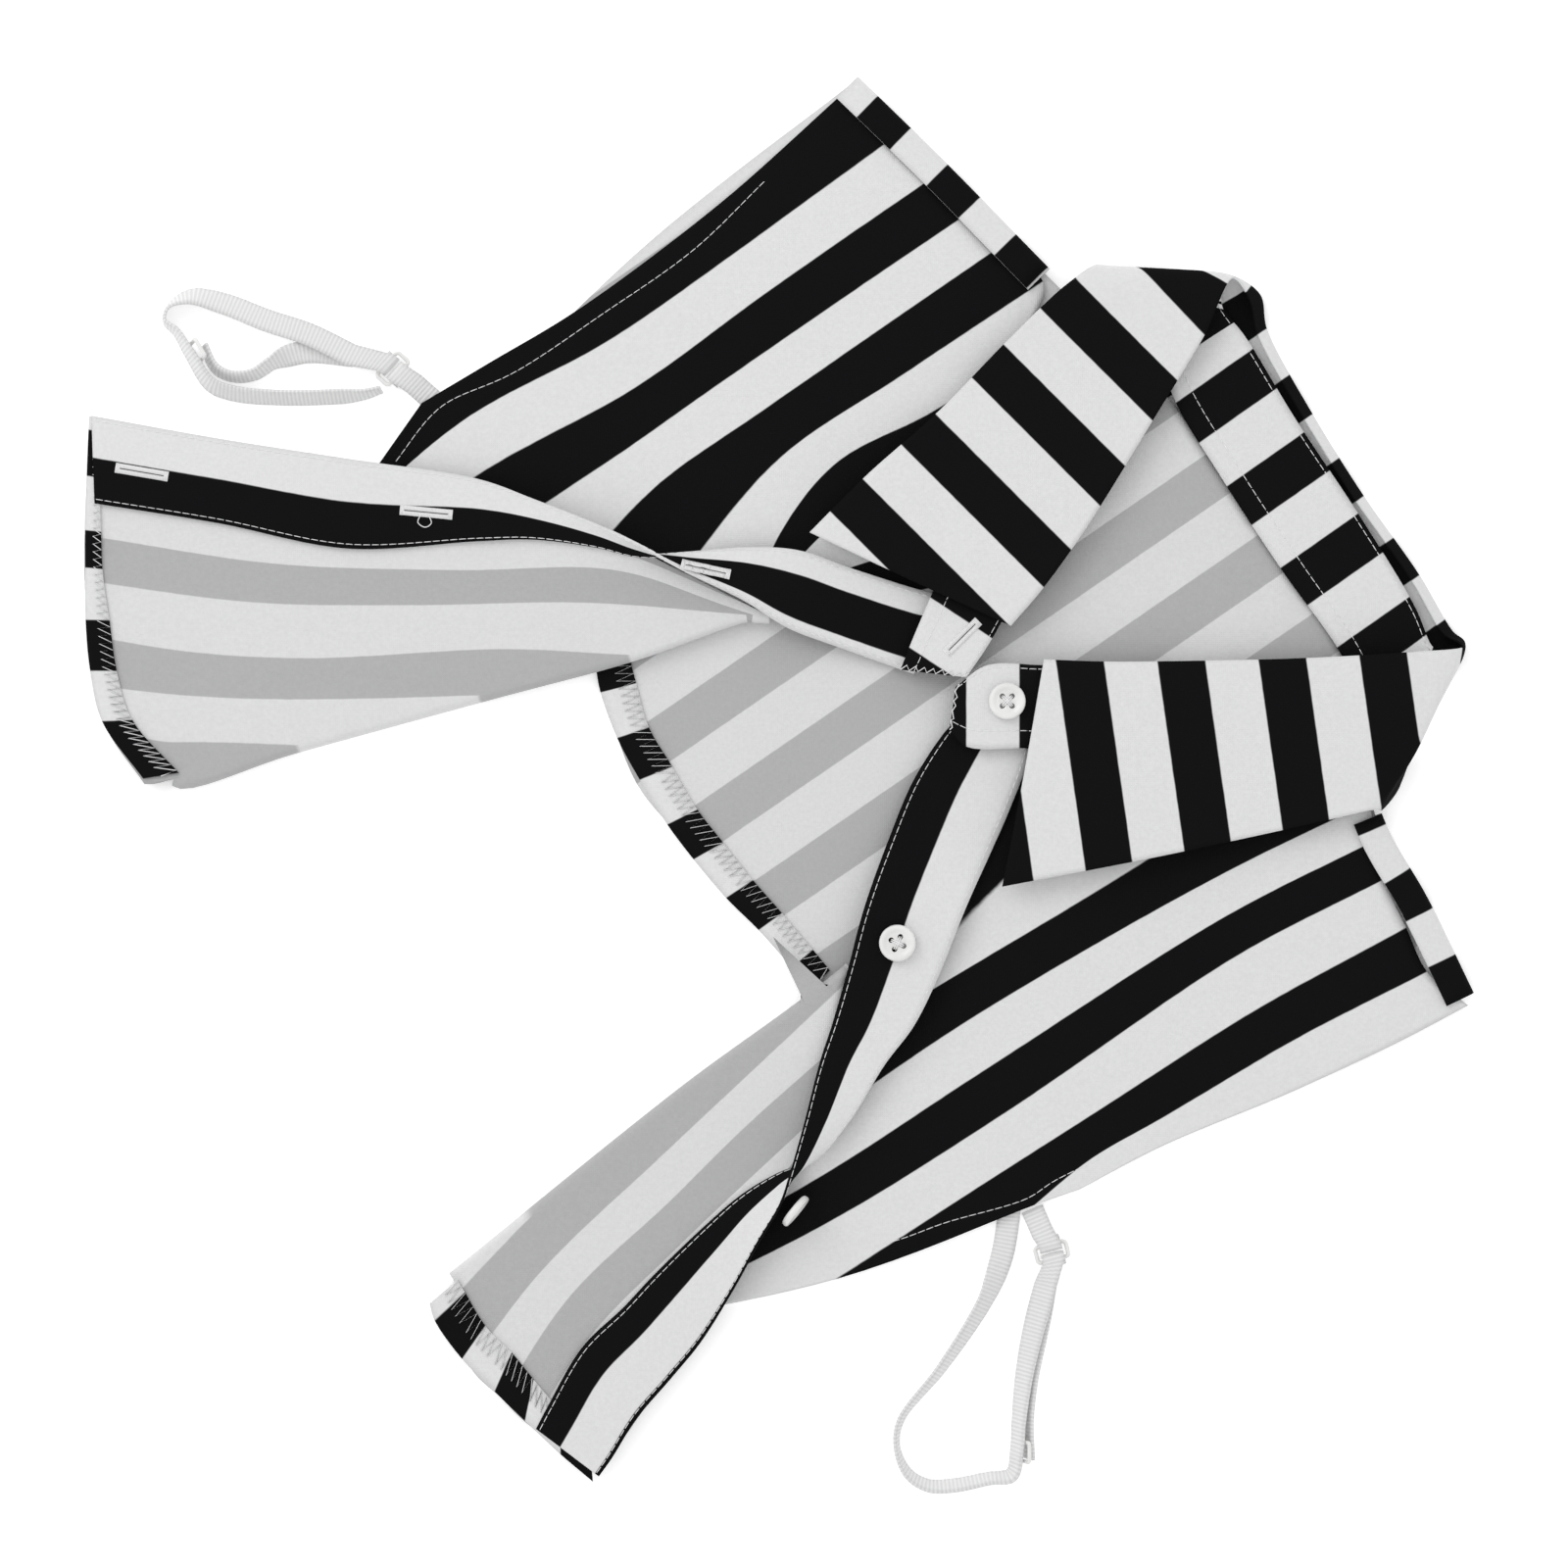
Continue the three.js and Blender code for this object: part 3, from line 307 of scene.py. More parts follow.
# The leaf, a row for each place along its fold
# Columns: fold or seam edge, bend, under or beyond the bend, free edge, and the heights of the four
LEAF_UNDER = (STAND_AT_BACK + 0.9, 2.5, 0.6, 0.6)
LEAF_OVER = (LEAF_AT_FRONTS,) * 4
CORNER_UNDER = (5.2, 2.6, 0.6, 0.6)
UPPER_CORNER = (8, 7.4, 6.6, 5.6)
LOWER_CORNER = (8, 7.4, 6.6, 5.9)
LEAF = (
    ((67.6, 47.1), (47.4, 56.3), (27.4, 65.6), (7.6, 75), LEAF_OVER),
    ((77.1, 58.2), (58.9, 69.9), (41.3, 81.1), (24.4, 91.8), LEAF_OVER),
    ((90, 76.2), (75, 88.2), (60.4, 99.9), (46.2, 111.2), LEAF_OVER),
    ((110, 108.5), (95.4, 116.6), (81, 124.6), (66.8, 132.4), LEAF_OVER),
    ((125, 133.2), (112.4, 139), (99.2, 144.5), (85.3, 149.7), LEAF_OVER),
    ((134.1, 150.9), (128, 152.2), (114, 153.4), (94.4, 154.7), UPPER_CORNER),
    ((139.4, 144), (142, 146.8), (137.5, 145), (100, 146), CORNER_UNDER),
    ((141.5, 134.8), (144.4, 135.9), (140, 133.7), (90.9, 99.1), LEAF_UNDER),
    ((155.6, 109.2), (158.2, 110.3), (154.1, 108.1), (104.7, 73.5), LEAF_UNDER),
    ((171, 84.8), (173.5, 85.9), (169.5, 83.7), (120, 49.1), LEAF_UNDER),
    ((187.4, 61.3), (190, 62.4), (185.9, 60.2), (136.5, 25.6), LEAF_UNDER),
    ((197.4, 44.6), (200, 45.6), (196, 43.4), (150, 5.9), LEAF_UNDER),
    ((201.5, 42.4), (203.6, 42.2), (199.6, 41.2), (184.5, 2), CORNER_UNDER),
    ((202.9, 40.9), (199.2, 32), (192.4, 18.4), (178.4, -7.6), LOWER_CORNER),
    ((187.6, 39.4), (189.7, 24), (185.8, 8.3), (175.9, -7.6), LEAF_OVER),
    ((156.8, 37.6), (158.7, 21.5), (160.7, 5.5), (162.6, -10.6), LEAF_OVER),
    ((126.5, 36.8), (129, 18.9), (131.6, 1.1), (134.4, -16.8), LEAF_OVER),
    ((96.8, 36.5), (99.5, 16.7), (102.3, -3.1), (105.3, -22.9), LEAF_OVER),
    ((77.4, 37.1), (73.5, 14.2), (69.4, -8.3), (65, -30.6), LEAF_OVER),
)

LEAF_BACK_ROWS = range(6, 13)
LEAF_FIRST_LOWER_ROW = 13

# The back panel, wrong side up
# Columns: hem, middle, and neck or shoulder
BACK = (
    ((-98, 106), (-41.2, 161.8), (20.9, 210.3)),
    ((-70.6, 70.6), (-11.8, 132.4), (47.1, 184.7)),
    ((-58.8, 47.1), (11.8, 102.9), (78.2, 152.9)),
    ((-55.3, 32.4), (29.4, 82.4), (113.8, 117.1)),
    ((-44.1, 0), (38.2, 47.1), (127.9, 97.1)),
    ((-29.4, -17.6), (52.9, 29.4), (141.2, 77.9)),
    ((-11.8, -38.2), (73.5, 8.8), (154.4, 58.8)),
    ((8.8, -58.8), (91.2, -5.9), (167.1, 40)),
    ((29.4, -85.3), (102.9, -38.2), (177.1, -9.4)),
    ((50, -108), (117.6, -70.6), (191.2, -35.3)),
    ((68, -122), (138.2, -97.1), (204.7, -63.2)),
)

SHOULDER_ROWS = 3

# Elastic loops; lift is the height of the lower edge, tilt turns the band from flat to on edge
# Columns: place, lift, tilt
LEFT_ELASTIC = (
    ((-129.5, 128.4), 2.6, 0),
    ((-141.7, 134.4), 2.6, 0),
    ((-155.1, 138.9), 1.8, 8),
    ((-167.9, 143.9), 0.6, 22),
    ((-177.8, 145.9), 0.2, 48),
    ((-184.2, 142.9), 0.1, 76),
    ((-185.4, 138.6), 0.3, 80),
    ((-181.8, 135.2), 1, 72),
    ((-177.4, 128.3), 2.2, 62),
    ((-171.6, 119.6), 1, 56),
    ((-165, 117), 0.1, 56),
    ((-150.5, 115.6), 0.1, 60),
    ((-133, 116), 0.1, 60),
    ((-125.4, 116.7), 0.1, 74),
    ((-120.5, 118.1), 0.1, 82),
)

LEFT_ELASTIC_RETURN = (
    ((-173.7, 131.2), 0.1, 68),
    ((-170.4, 124.6), 0.1, 68),
    ((-165.2, 122), 0.1, 70),
    ((-158.6, 122.6), 0.1, 70),
    ((-153.4, 125.9), 0.1, 66),
    ((-148.2, 128.4), 0.1, 24),
    ((-141.8, 129.6), 0.1, 2),
    ((-129, 128.4), 0.1, 0),
)

RIGHT_ELASTIC = (
    ((78.2, -150.2), 2.2, 5),
    ((74.4, -164.3), 1.7, 34),
    ((71.8, -177.4), 1.2, 50),
    ((70.2, -190.6), 1.6, 62),
    ((69.6, -199.4), 2.2, 64),
    ((68, -206.6), 1.2, 66),
    ((61.5, -207.8), 0.2, 70),
    ((51.1, -209.9), 0.1, 68),
    ((43.3, -210), 0.1, 70),
    ((37.2, -206.4), 0.1, 74),
    ((33.8, -198.6), 0.1, 80),
    ((34.9, -190.5), 0.1, 74),
    ((47.2, -174.8), 0.1, 64),
    ((60.4, -154.4), 0.1, 48),
    ((65, -142.6), 0.05, 12),
    ((66.6, -135.5), 0.05, 1),
    ((67.6, -127.5), 0.05, 0),
)

RIGHT_ELASTIC_RETURN = (
    ((78.4, -150.4), 0.1, 0),
    ((76, -164.3), 0.1, 34),
    ((73.6, -177.4), 0.1, 50),
    ((72.6, -190.6), 0.1, 62),
    ((73.2, -202), 0.1, 66),
)

LEFT_TAB = (
    ((-110.8, 119.9), 1.4, 0),
    ((-108, 117.4), 0.15, 0),
    ((-103.4, 113.4), 0.05, 0),
)

RIGHT_TAB = (
    ((77.5, -134.6), 1.8, 0),
    ((74.4, -127.4), 0.05, 0),
)


def spread(value, count):
    """The same value for each of the points, unless the row already gives one for each."""
    return value if isinstance(value, tuple) else (value,) * count


def lifted(table, height, stripes):
    """Rows of (x, y, z, stripe) from rows of a stripe distance and plan points."""
    rows = []
    for distance, *points in table:
        distances = spread(distance, len(points))
        rows.append([(x, y, height(x, y), phase(d, stripes)) for (x, y), d in zip(points, distances)])
    return rows


# Where the first black stripe's middle lies and how far apart the stripes are, in millimetres
BUTTONHOLE_STRIPES = (13.0, 30.25)
BUTTON_STRIPES = (6.5, 29.3)
BACK_STRIPES = (11.2, 28.7)
UPPER_LEAF_STRIPES = (74.0, 29.0)
LOWER_LEAF_STRIPES = (88.1, 30.2)
ROLL_STRIPES = (-35.6, 28.9)
STAND_BACK_STRIPES = (-19.2, 29.2)
STAND_TAB_STRIPES = (47.3, 30.0)
RIGHT_SHOULDER_SHIFT = 0.25

# Whole stripes already counted where each part of the leaf and stand starts or ends its own count
ROLL_COUNT = 5
LOWER_LEAF_COUNT = 13
STAND_BACK_COUNT = 4
LOWER_STAND_COUNT = 12
ALONG_NECK = (0.574, -0.819)
ALONG_UPPER_LEAF = (math.sqrt(0.5), math.sqrt(0.5))
ALONG_UPPER_STAND = (0.55, 0.83)
LOWER_LEAF_FOLD = 36.8
LOWER_LEAF_LEAN = 0.142


def phase(distance, stripes):
    first, pitch = stripes
    return (distance - first) / pitch


def back_stripe(x, y):
    return phase(distance_along(ACROSS_BACK, x - NECK_CENTRE[0], y - NECK_CENTRE[1]), BACK_STRIPES)


def leaf_stripe(row, x, y):
    if row in LEAF_BACK_ROWS:
        return phase(distance_along(ALONG_NECK, x, y), ROLL_STRIPES) + ROLL_COUNT
    if row < LEAF_FIRST_LOWER_ROW:
        return phase(distance_along(ALONG_UPPER_LEAF, x, y), UPPER_LEAF_STRIPES)
    return LOWER_LEAF_COUNT - phase(x + LOWER_LEAF_LEAN * (y - LOWER_LEAF_FOLD), LOWER_LEAF_STRIPES)


def stand_stripe(row, x, y):
    if row in STAND_BACK_ROWS:
        return phase(distance_along(ALONG_NECK, x, y), STAND_BACK_STRIPES) + STAND_BACK_COUNT
    if row < STAND_FIRST_LOWER_ROW:
        return phase(distance_along(ALONG_UPPER_STAND, x, y), STAND_TAB_STRIPES)
    return LOWER_STAND_COUNT - phase(x, STAND_TAB_STRIPES)


class Ripple:
    """A gentle, repeatable unevenness of laid cloth, as a sum of a few waves."""

    def __init__(self, seed, height, shortest, longest):
        chance = random.Random(seed)
        self.waves = []
        for _ in range(7):
            length = chance.uniform(shortest, longest)
            heading = chance.uniform(0, math.pi)
            turn = chance.uniform(0, 2 * math.pi)
            share = height * length / longest
            self.waves.append((math.cos(heading) / length, math.sin(heading) / length, turn, share))

    def at(self, x, y):
        return sum(share * math.sin(2 * math.pi * (x * fx + y * fy) + turn)
                   for fx, fy, turn, share in self.waves)


def sheet_object(name, rows, materials, thickness, second=None):
    """A mesh through the rows, right side out, with the stripe places kept on its points."""
    starts, vertices, stripes = [], [], []
    for row in rows:
        starts.append(len(vertices))
        for point in row:
            vertices.append(Vector(point[:3]) * MM)
            stripes.append(point[3])
    faces = []
    for i in range(len(rows) - 1):
        shared = min(len(rows[i]), len(rows[i + 1]))
        for j in range(shared - 1):
            a, b = starts[i] + j, starts[i + 1] + j
            faces.append((a, b, b + 1, a + 1))
    mesh = bpy.data.meshes.new(name)
    mesh.from_pydata(vertices, [], faces)
    if mesh.polygons[0].normal.z < 0:
        mesh.flip_normals()
    keep_values(mesh, "stripe", stripes)
    if second is not None:
        keep_values(mesh, "second_stripe", second)
    piece = show(name, mesh, materials)
    solid = piece.modifiers.new("cloth thickness", "SOLIDIFY")
    solid.thickness = thickness * MM
    solid.offset = 0
    solid.use_even_offset = True
    if len(materials) > 1:
        solid.material_offset = 1
    return piece


def keep_values(mesh, name, values):
    attribute = mesh.attributes.new(name, "FLOAT", "POINT")
    attribute.data.foreach_set("value", [float(value) for value in values])


def show(name, mesh, materials):
    for polygon in mesh.polygons:
        polygon.use_smooth = True
    for material in materials:
        mesh.materials.append(material)
    piece = bpy.data.objects.new(name, mesh)
    bpy.context.scene.collection.objects.link(piece)
    return piece


def settle(piece, nodes=()):
    """Hangs a finished piece on the collar's one body."""
    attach(piece, BODY)
    if nodes:
        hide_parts(*nodes)


class Shader:
    """A principled material whose sockets are fed by short chains of nodes."""

    def __init__(self, name, roughness, sheen=0.0):
        self.material = bpy.data.materials.new(name)
        self.material.use_nodes = True
        self.nodes = self.material.node_tree.nodes
        self.links = self.material.node_tree.links
        self.surface = self.nodes["Principled BSDF"]
        self.surface.inputs["Roughness"].default_value = roughness
        self.surface.inputs["Sheen Weight"].default_value = sheen

    def feed(self, socket, value):
        if isinstance(value, bpy.types.NodeSocket):
            self.links.new(value, socket)
        else:
            socket.default_value = value

    def math(self, operation, first, second=0.0):
        node = self.nodes.new("ShaderNodeMath")
        node.operation = operation
        self.feed(node.inputs[0], first)
        self.feed(node.inputs[1], second)
        return node.outputs[0]

    def stripe_place(self, attribute):
        node = self.nodes.new("ShaderNodeAttribute")
        node.attribute_name = attribute
        return node.outputs["Fac"]

    def step(self, value, start, end):
        node = self.nodes.new("ShaderNodeMapRange")
        node.interpolation_type = "SMOOTHSTEP"
        self.feed(node.inputs["Value"], value)
        node.inputs["From Min"].default_value = start
        node.inputs["From Max"].default_value = end
        return node.outputs["Result"]

    def noise(self, scale, detail=3.0):
        place = self.nodes.new("ShaderNodeTexCoord")
        node = self.nodes.new("ShaderNodeTexNoise")
        self.links.new(place.outputs["Object"], node.inputs["Vector"])
        node.inputs["Scale"].default_value = scale
        node.inputs["Detail"].default_value = detail
        return node.outputs["Fac"]

    def weave(self, scale):
        """Two crossing sets of fine bands, as the threads of a plain weave."""
        place = self.nodes.new("ShaderNodeTexCoord")
        heights = []
        for direction in ("X", "Y"):
            node = self.nodes.new("ShaderNodeTexWave")
            node.bands_direction = direction
            self.links.new(place.outputs["Object"], node.inputs["Vector"])
            node.inputs["Scale"].default_value = scale
            heights.append(node.outputs["Fac"])
        return self.math("MULTIPLY", *heights)

    def wander(self, scale, amount):
        """Noise about zero, by half the amount to either side."""
        return self.math("MULTIPLY", self.math("SUBTRACT", self.noise(scale), 0.5), amount)

    def mixed(self, share, first, second):
        node = self.nodes.new("ShaderNodeMix")
        node.data_type = "RGBA"
        self.feed(node.inputs["Factor"], share)
        self.feed(node.inputs[6], first)
        self.feed(node.inputs[7], second)
        return node.outputs[2]

    def colour(self, value):
        self.feed(self.surface.inputs["Base Color"], value)

    def bump(self, height, distance, strength=1.0):
        node = self.nodes.new("ShaderNodeBump")
        node.inputs["Distance"].default_value = distance
        node.inputs["Strength"].default_value = strength
        self.links.new(height, node.inputs["Height"])
        self.links.new(node.outputs["Normal"], self.surface.inputs["Normal"])


# Painted shade in the cut of a buttonhole, deeper and paler
SLIT_PAINTED_SHADE_DEEP = (0.02, 0.02, 0.02, 1)
SLIT_PAINTED_SHADE_PALE = (0.05, 0.05, 0.05, 1)
STRIPE_EDGE = 0.008
# Painted shade in the grooves between the elastic's ribs, as a share of its colour
RIB_GROOVE_PAINTED_SHADE = 0.84
RESIN_CLOUD = 0.93


def rgba(shade):
    return (*shade, 1.0)


def made_once(name, **finish):
    """A material that is made when it is first asked for, and found by its name after that."""
    def keep(dress):
        def find():
            if name not in bpy.data.materials:
                dress(Shader(name, **finish))
            return bpy.data.materials[name]
        return find
    return keep


def cotton(shader, ground, stripe, attribute="stripe"):
    """Cotton shirting with woven stripes, which follow the places kept on the cloth's points."""
    share = bpy.context.scene.collar_cloth.stripe_share
    shader.surface.inputs["Specular IOR Level"].default_value = 0.08
    unevenness = shader.wander(scale=220.0, amount=STRIPE_EDGE)
    place = shader.math("ADD", shader.stripe_place(attribute), unevenness)
    within = shader.math("FRACT", shader.math("ADD", place, 0.5))
    from_middle = shader.math("ABSOLUTE", shader.math("SUBTRACT", within, 0.5))
    white = shader.step(from_middle, share / 2 - STRIPE_EDGE, share / 2 + STRIPE_EDGE)
    slub = shader.wander(scale=900.0, amount=0.16)
    tone = shader.math("ADD", shader.math("ADD", slub, 0.98), shader.math("MULTIPLY", unevenness, 2.0))
    woven = shader.mixed(white, rgba(stripe), rgba(ground))
    darker = shader.nodes.new("ShaderNodeVectorMath")
    darker.operation = "SCALE"
    shader.links.new(woven, darker.inputs[0])
    shader.links.new(tone, darker.inputs["Scale"])
    shader.colour(darker.outputs[0])
    threads = shader.math("ADD", shader.weave(scale=550.0), shader.noise(scale=1500.0))
    shader.bump(threads, distance=0.0001, strength=0.5)


@made_once("striped cotton, right side", roughness=0.9)
def right_side(shader):
    cloth = bpy.context.scene.collar_cloth
    cotton(shader, cloth.ground, cloth.stripe)


@made_once("striped cotton, wrong side", roughness=0.9)
def wrong_side(shader):
    cloth = bpy.context.scene.collar_cloth
    cotton(shader, cloth.wrong_ground, cloth.wrong_stripe)


@made_once("striped cotton, placket facing", roughness=0.9)
def facing_side(shader):
    cloth = bpy.context.scene.collar_cloth
    cotton(shader, cloth.ground, cloth.stripe, "second_stripe")


@made_once("white ribbed elastic", roughness=0.82, sheen=0.05)
def elastic_material(shader):
    """Fine ribs across the band, with painted shade making it a little darker between them."""
    turn = shader.math("MULTIPLY", shader.stripe_place("stripe"), 2 * math.pi)
    rib = shader.math("MULTIPLY", shader.math("ADD", shader.math("SINE", turn), 1.0), 0.5)
    elastic = bpy.context.scene.collar_notions.elastic
    # Painted shade: the rib colour darkened where the grooves between the ribs fall
    shade = tuple(RIB_GROOVE_PAINTED_SHADE * part for part in elastic)
    shader.colour(shader.mixed(rib, rgba(shade), rgba(elastic)))
    shader.bump(shader.math("ADD", rib, shader.noise(scale=1800.0)), distance=0.00025, strength=0.5)


@made_once("white cotton thread", roughness=0.7, sheen=0.05)
def thread_material(shader):
    shader.colour(rgba(bpy.context.scene.collar_notions.thread))
    shader.bump(shader.noise(scale=4000.0), distance=0.00004, strength=0.6)


@made_once("white satin resin", roughness=0.32)
def resin_material(shader):
    resin = bpy.context.scene.collar_notions.resin
    tint = tuple(RESIN_CLOUD * part for part in resin)
    cloud = shader.step(shader.noise(scale=160.0), start=0.35, end=0.65)
    shader.colour(shader.mixed(cloud, rgba(tint), rgba(resin)))
    shader.surface.inputs["Coat Weight"].default_value = 0.2
    shader.surface.inputs["Subsurface Weight"].default_value = 0.08
    shader.surface.inputs["Subsurface Radius"].default_value = (0.001, 0.001, 0.001)


# Painted shade in the cut of a buttonhole: a dark cord laid where the gap between the satin stitches is
@made_once("painted shade in a buttonhole slit", roughness=0.9)
def slit_painted_shade_material(shader):
    shader.colour(shader.mixed(shader.noise(scale=900.0), SLIT_PAINTED_SHADE_DEEP, SLIT_PAINTED_SHADE_PALE))


UNEVENNESS = Ripple(seed=11, height=0.07, shortest=28, longest=95)
RISE = 0.25


def rise(x, y):
    """How far the laid cloth stands above its flat height, in millimetres; every layer shares it."""
    return RISE + max(-RISE, UNEVENNESS.at(x, y))


def raised(rows):
    for row in rows:
        for point in row:
            point[2] += rise(point[0], point[1])
    return rows


def folded_rows(lower, flap, first_rolled):
    """Lower sheet, the turn at the roll, and the flap that lies over it."""
    rolled = lower[first_rolled:first_rolled + len(flap)]
    ends = [row[-1] for row in rolled]
    previous = [row[-2] for row in rolled]
    turns = fold_turns(ends, previous, FRONT_FOLD_RADIUS, FOLD_STEPS)
    rows = []
    for i, row in enumerate(lower):
        k = i - first_rolled
        if 0 <= k < len(flap):
            rows.append([*row, *turns[k], *flap[k][1:]])
        else:
            rows.append(list(row))
    return rows


def laid_sheet(table, height, stripes, detail, steps_along):
    """A grid through a table's rows, laid on the height that its place in plan has."""
    grid = sheet_grid(lifted(table, height, stripes), (len(table) - 1) * detail, steps_along)
    set_heights(grid, height)
    return grid


def buttonhole_front_rows(detail):
    lower = laid_sheet(BUTTONHOLE_FRONT, front_height, BUTTONHOLE_STRIPES, detail, SHEET_STEPS)
    flap = laid_sheet(BUTTONHOLE_FLAP, flap_height, BUTTONHOLE_STRIPES, detail, SHEET_STEPS)
    return raised(folded_rows(lower, flap, FIRST_ROLLED_ROW * detail))


def button_front_rows(detail):
    along = 2 * detail
    columns = len(BUTTON_FRONT[0]) - 2
    lower = laid_sheet(BUTTON_FRONT, front_height, BUTTON_STRIPES, detail, columns * along)
    rolled = (columns - BUTTON_ROLL_COLUMN) * along
    flap = laid_sheet(BUTTON_FLAP, flap_height, BUTTON_STRIPES, detail, rolled)
    lower, flap = lower.transpose(1, 0, 2), flap.transpose(1, 0, 2)
    return raised(folded_rows(lower, flap, BUTTON_ROLL_COLUMN * along))


def back_panel_rows(detail):
    table = [[(x, y, back_height(x, y), back_stripe(x, y)) for x, y in row] for row in BACK]
    rows = sheet_grid(table, (len(BACK) - 1) * detail, SHEET_STEPS)
    set_heights(rows, back_height)
    rows = [list(row) for row in rows]
    for first, shift in ((0, 0.0), (len(BACK) - SHOULDER_ROWS, RIGHT_SHOULDER_SHIFT)):
        start = first * detail
        wrapped = rows[start:start + (SHOULDER_ROWS - 1) * detail + 1]
        ends = [row[-1] for row in wrapped]
        previous = [row[-2] for row in wrapped]
        turns = fold_turns(ends, previous, SHOULDER_FOLD_RADIUS, SHOULDER_STEPS)
        for row, turn in zip(wrapped, turns):
            top = turn[-1]
            inward = turn[3] - top
            inward[2:] = 0
            inward /= np.linalg.norm(inward)
            row.extend(turn)
            row.extend(top - inward * share * SEAM_ALLOWANCE_ON_FRONT for share in SEAM_PLACES)
            for point in row[-len(turn) - len(SEAM_PLACES):]:
                point[3] += shift
    return raised(rows)


def placket_rows(table, steps, width, first, facing_first, pitch):
    """Free edge to sewn edge; returns the rows and the stripe places of the facing side."""
    edges = []
    for column, distance in ((0, 0.0), (1, width)):
        points = []
        for row in table:
            x, y = row[column]
            points.append((x, y, front_height(x, y) + row[2 + column], (distance - first) / pitch))
        edges.append(points)
    rows = raised(sheet_grid(edges, PLACKET_STEPS, steps))
    facing = [(point[3] * pitch + first - facing_first) / pitch for row in rows for point in row]
    return rows, facing


def stand_rows(across, along):
    edges = []
    for column in (1, 0):
        edges.append([(*row[column], row[2], stand_stripe(i, *row[column])) for i, row in enumerate(STAND)])
    return raised(sheet_grid(edges, across, along))


def leaf_rows(across, along):
    edges = []
    for column in range(4):
        points = []
        for i, row in enumerate(LEAF):
            x, y = row[column]
            points.append((x, y, row[4][column], leaf_stripe(i, x, y)))
        edges.append(points)
    rows = sheet_grid(edges, across, along)
    for row in rows:
        for point in row:
            point[2] = max(point[2], TABLE_LAYER + UNDER_SIDE_CLEARANCE)
    return raised(rows)


def joined_mesh(name, parts, materials):
    """One object from several (vertices, faces) parts in millimetres."""
    vertices, faces = [], []
    for part_vertices, part_faces in parts:
        start = len(vertices)
        vertices.extend(Vector(point[:3]) * MM for point in part_vertices)
        faces.extend(tuple(start + corner for corner in face) for face in part_faces)
    mesh = bpy.data.meshes.new(name)
    mesh.from_pydata(vertices, [], faces)
    return show(name, mesh, materials)


def tube(points, radius, sides=6, closed=False, flat=1.0):
    """A round or flattened cord through the points, as vertices and faces."""
    points = [Vector(point[:3]) for point in points]
    count = len(points)
    vertices, faces = [], []
    for i, point in enumerate(points):
        after = points[(i + 1) % count] if closed or i + 1 < count else point
        before = points[i - 1] if closed or i > 0 else point
        travel = (after - before).normalized()
        side = travel.cross(Vector((0, 0, 1)))
        side = side.normalized() if side.length > 0.05 else travel.orthogonal().normalized()
        up = side.cross(travel)
        for k in range(sides):
            angle = 2 * math.pi * k / sides
            vertices.append(point + radius * (math.cos(angle) * side + flat * math.sin(angle) * up))
    for i in range(count if closed else count - 1):
        near, far = i * sides, ((i + 1) % count) * sides
        for k in range(sides):
            n = (k + 1) % sides
            faces.append((near + k, far + k, far + n, near + n))
    if not closed:
        faces.append(tuple(range(sides)))
        faces.append(tuple(reversed(range((count - 1) * sides, count * sides))))
    return vertices, faces


# Stitching: lengths and heights over the middle of the cloth in millimetres
# and, for stitches along a placket or the stand, shares of the way across
STITCH_GAP = 0.5
STITCH_DIP = (0, 0, 0.12)
STITCH_HEIGHT = 0.42
THREAD_SIDES = 5
OVERLOCK = {"pitch": 1.15, "radius": 0.2}
OVERLOCK_HEIGHT = 0.55
STAND_ZIGZAG = {"pitch": 1.3, "radius": 0.18}
STAND_ZIGZAG_HEIGHT = 0.5
STAND_ZIGZAG_WIDTH = 0.006
PLACKET_STITCHES = (0.05, 0.95)
STAND_STITCHES = (0.21, 0.95)


def resampled(points, spacing):
    """Points at even spacing along a polyline."""
    points = np.array([tuple(point[:3]) for point in points], float)
    lengths = np.linalg.norm(np.diff(points, axis=0), axis=1)
    along = np.concatenate([[0.0], np.cumsum(lengths)])
    count = max(int(along[-1] / spacing), 1)
    places = np.linspace(0.0, along[-1], count + 1)
    return np.stack([np.interp(places, along, points[:, axis]) for axis in range(3)], axis=1)


def on_side(rows, across, height):
    """A line of points a share of the way across a sheet, at a height over it or, below 0, under it."""
    place = across * (len(rows) - 1)
    i = min(int(place), len(rows) - 2)
    share = place - i
    points = []
    first = np.cross(rows[i + 1][0][:3] - rows[i][0][:3], rows[i][1][:3] - rows[i][0][:3])
    if first[2] < 0:
        height = -height
    for j in range(len(rows[0])):
        point = rows[i][j][:3] * (1 - share) + rows[i + 1][j][:3] * share
        k = min(j, len(rows[0]) - 2)
        normal = np.cross(rows[i + 1][k][:3] - rows[i][k][:3], rows[i][k + 1][:3] - rows[i][k][:3])
        length = np.linalg.norm(normal)
        normal = normal / length if length > 1e-6 else np.array((0.0, 0.0, 1.0))
        points.append(point + normal * height)
    return points


def stitches(points):
    """Running stitches that dip into the cloth between each other."""
    notions = bpy.context.scene.collar_notions
    stitch, radius = notions.stitch_length / MM, notions.thread_radius / MM
    places = resampled(points, stitch + STITCH_GAP)
    parts = []
    for start, after in zip(places, places[1:]):
        end = start + (after - start) * stitch / (stitch + STITCH_GAP)
        middle = (start + end) / 2
        parts.append(tube((start - STITCH_DIP, middle, end - STITCH_DIP), radius, THREAD_SIDES))
    return parts


def sewn_through(rows, across):
    """The running stitches that show on both faces of a sheet."""
    parts = []
    for height in (-STITCH_HEIGHT, STITCH_HEIGHT):
        parts += stitches(on_side(rows, across, height))
    return parts


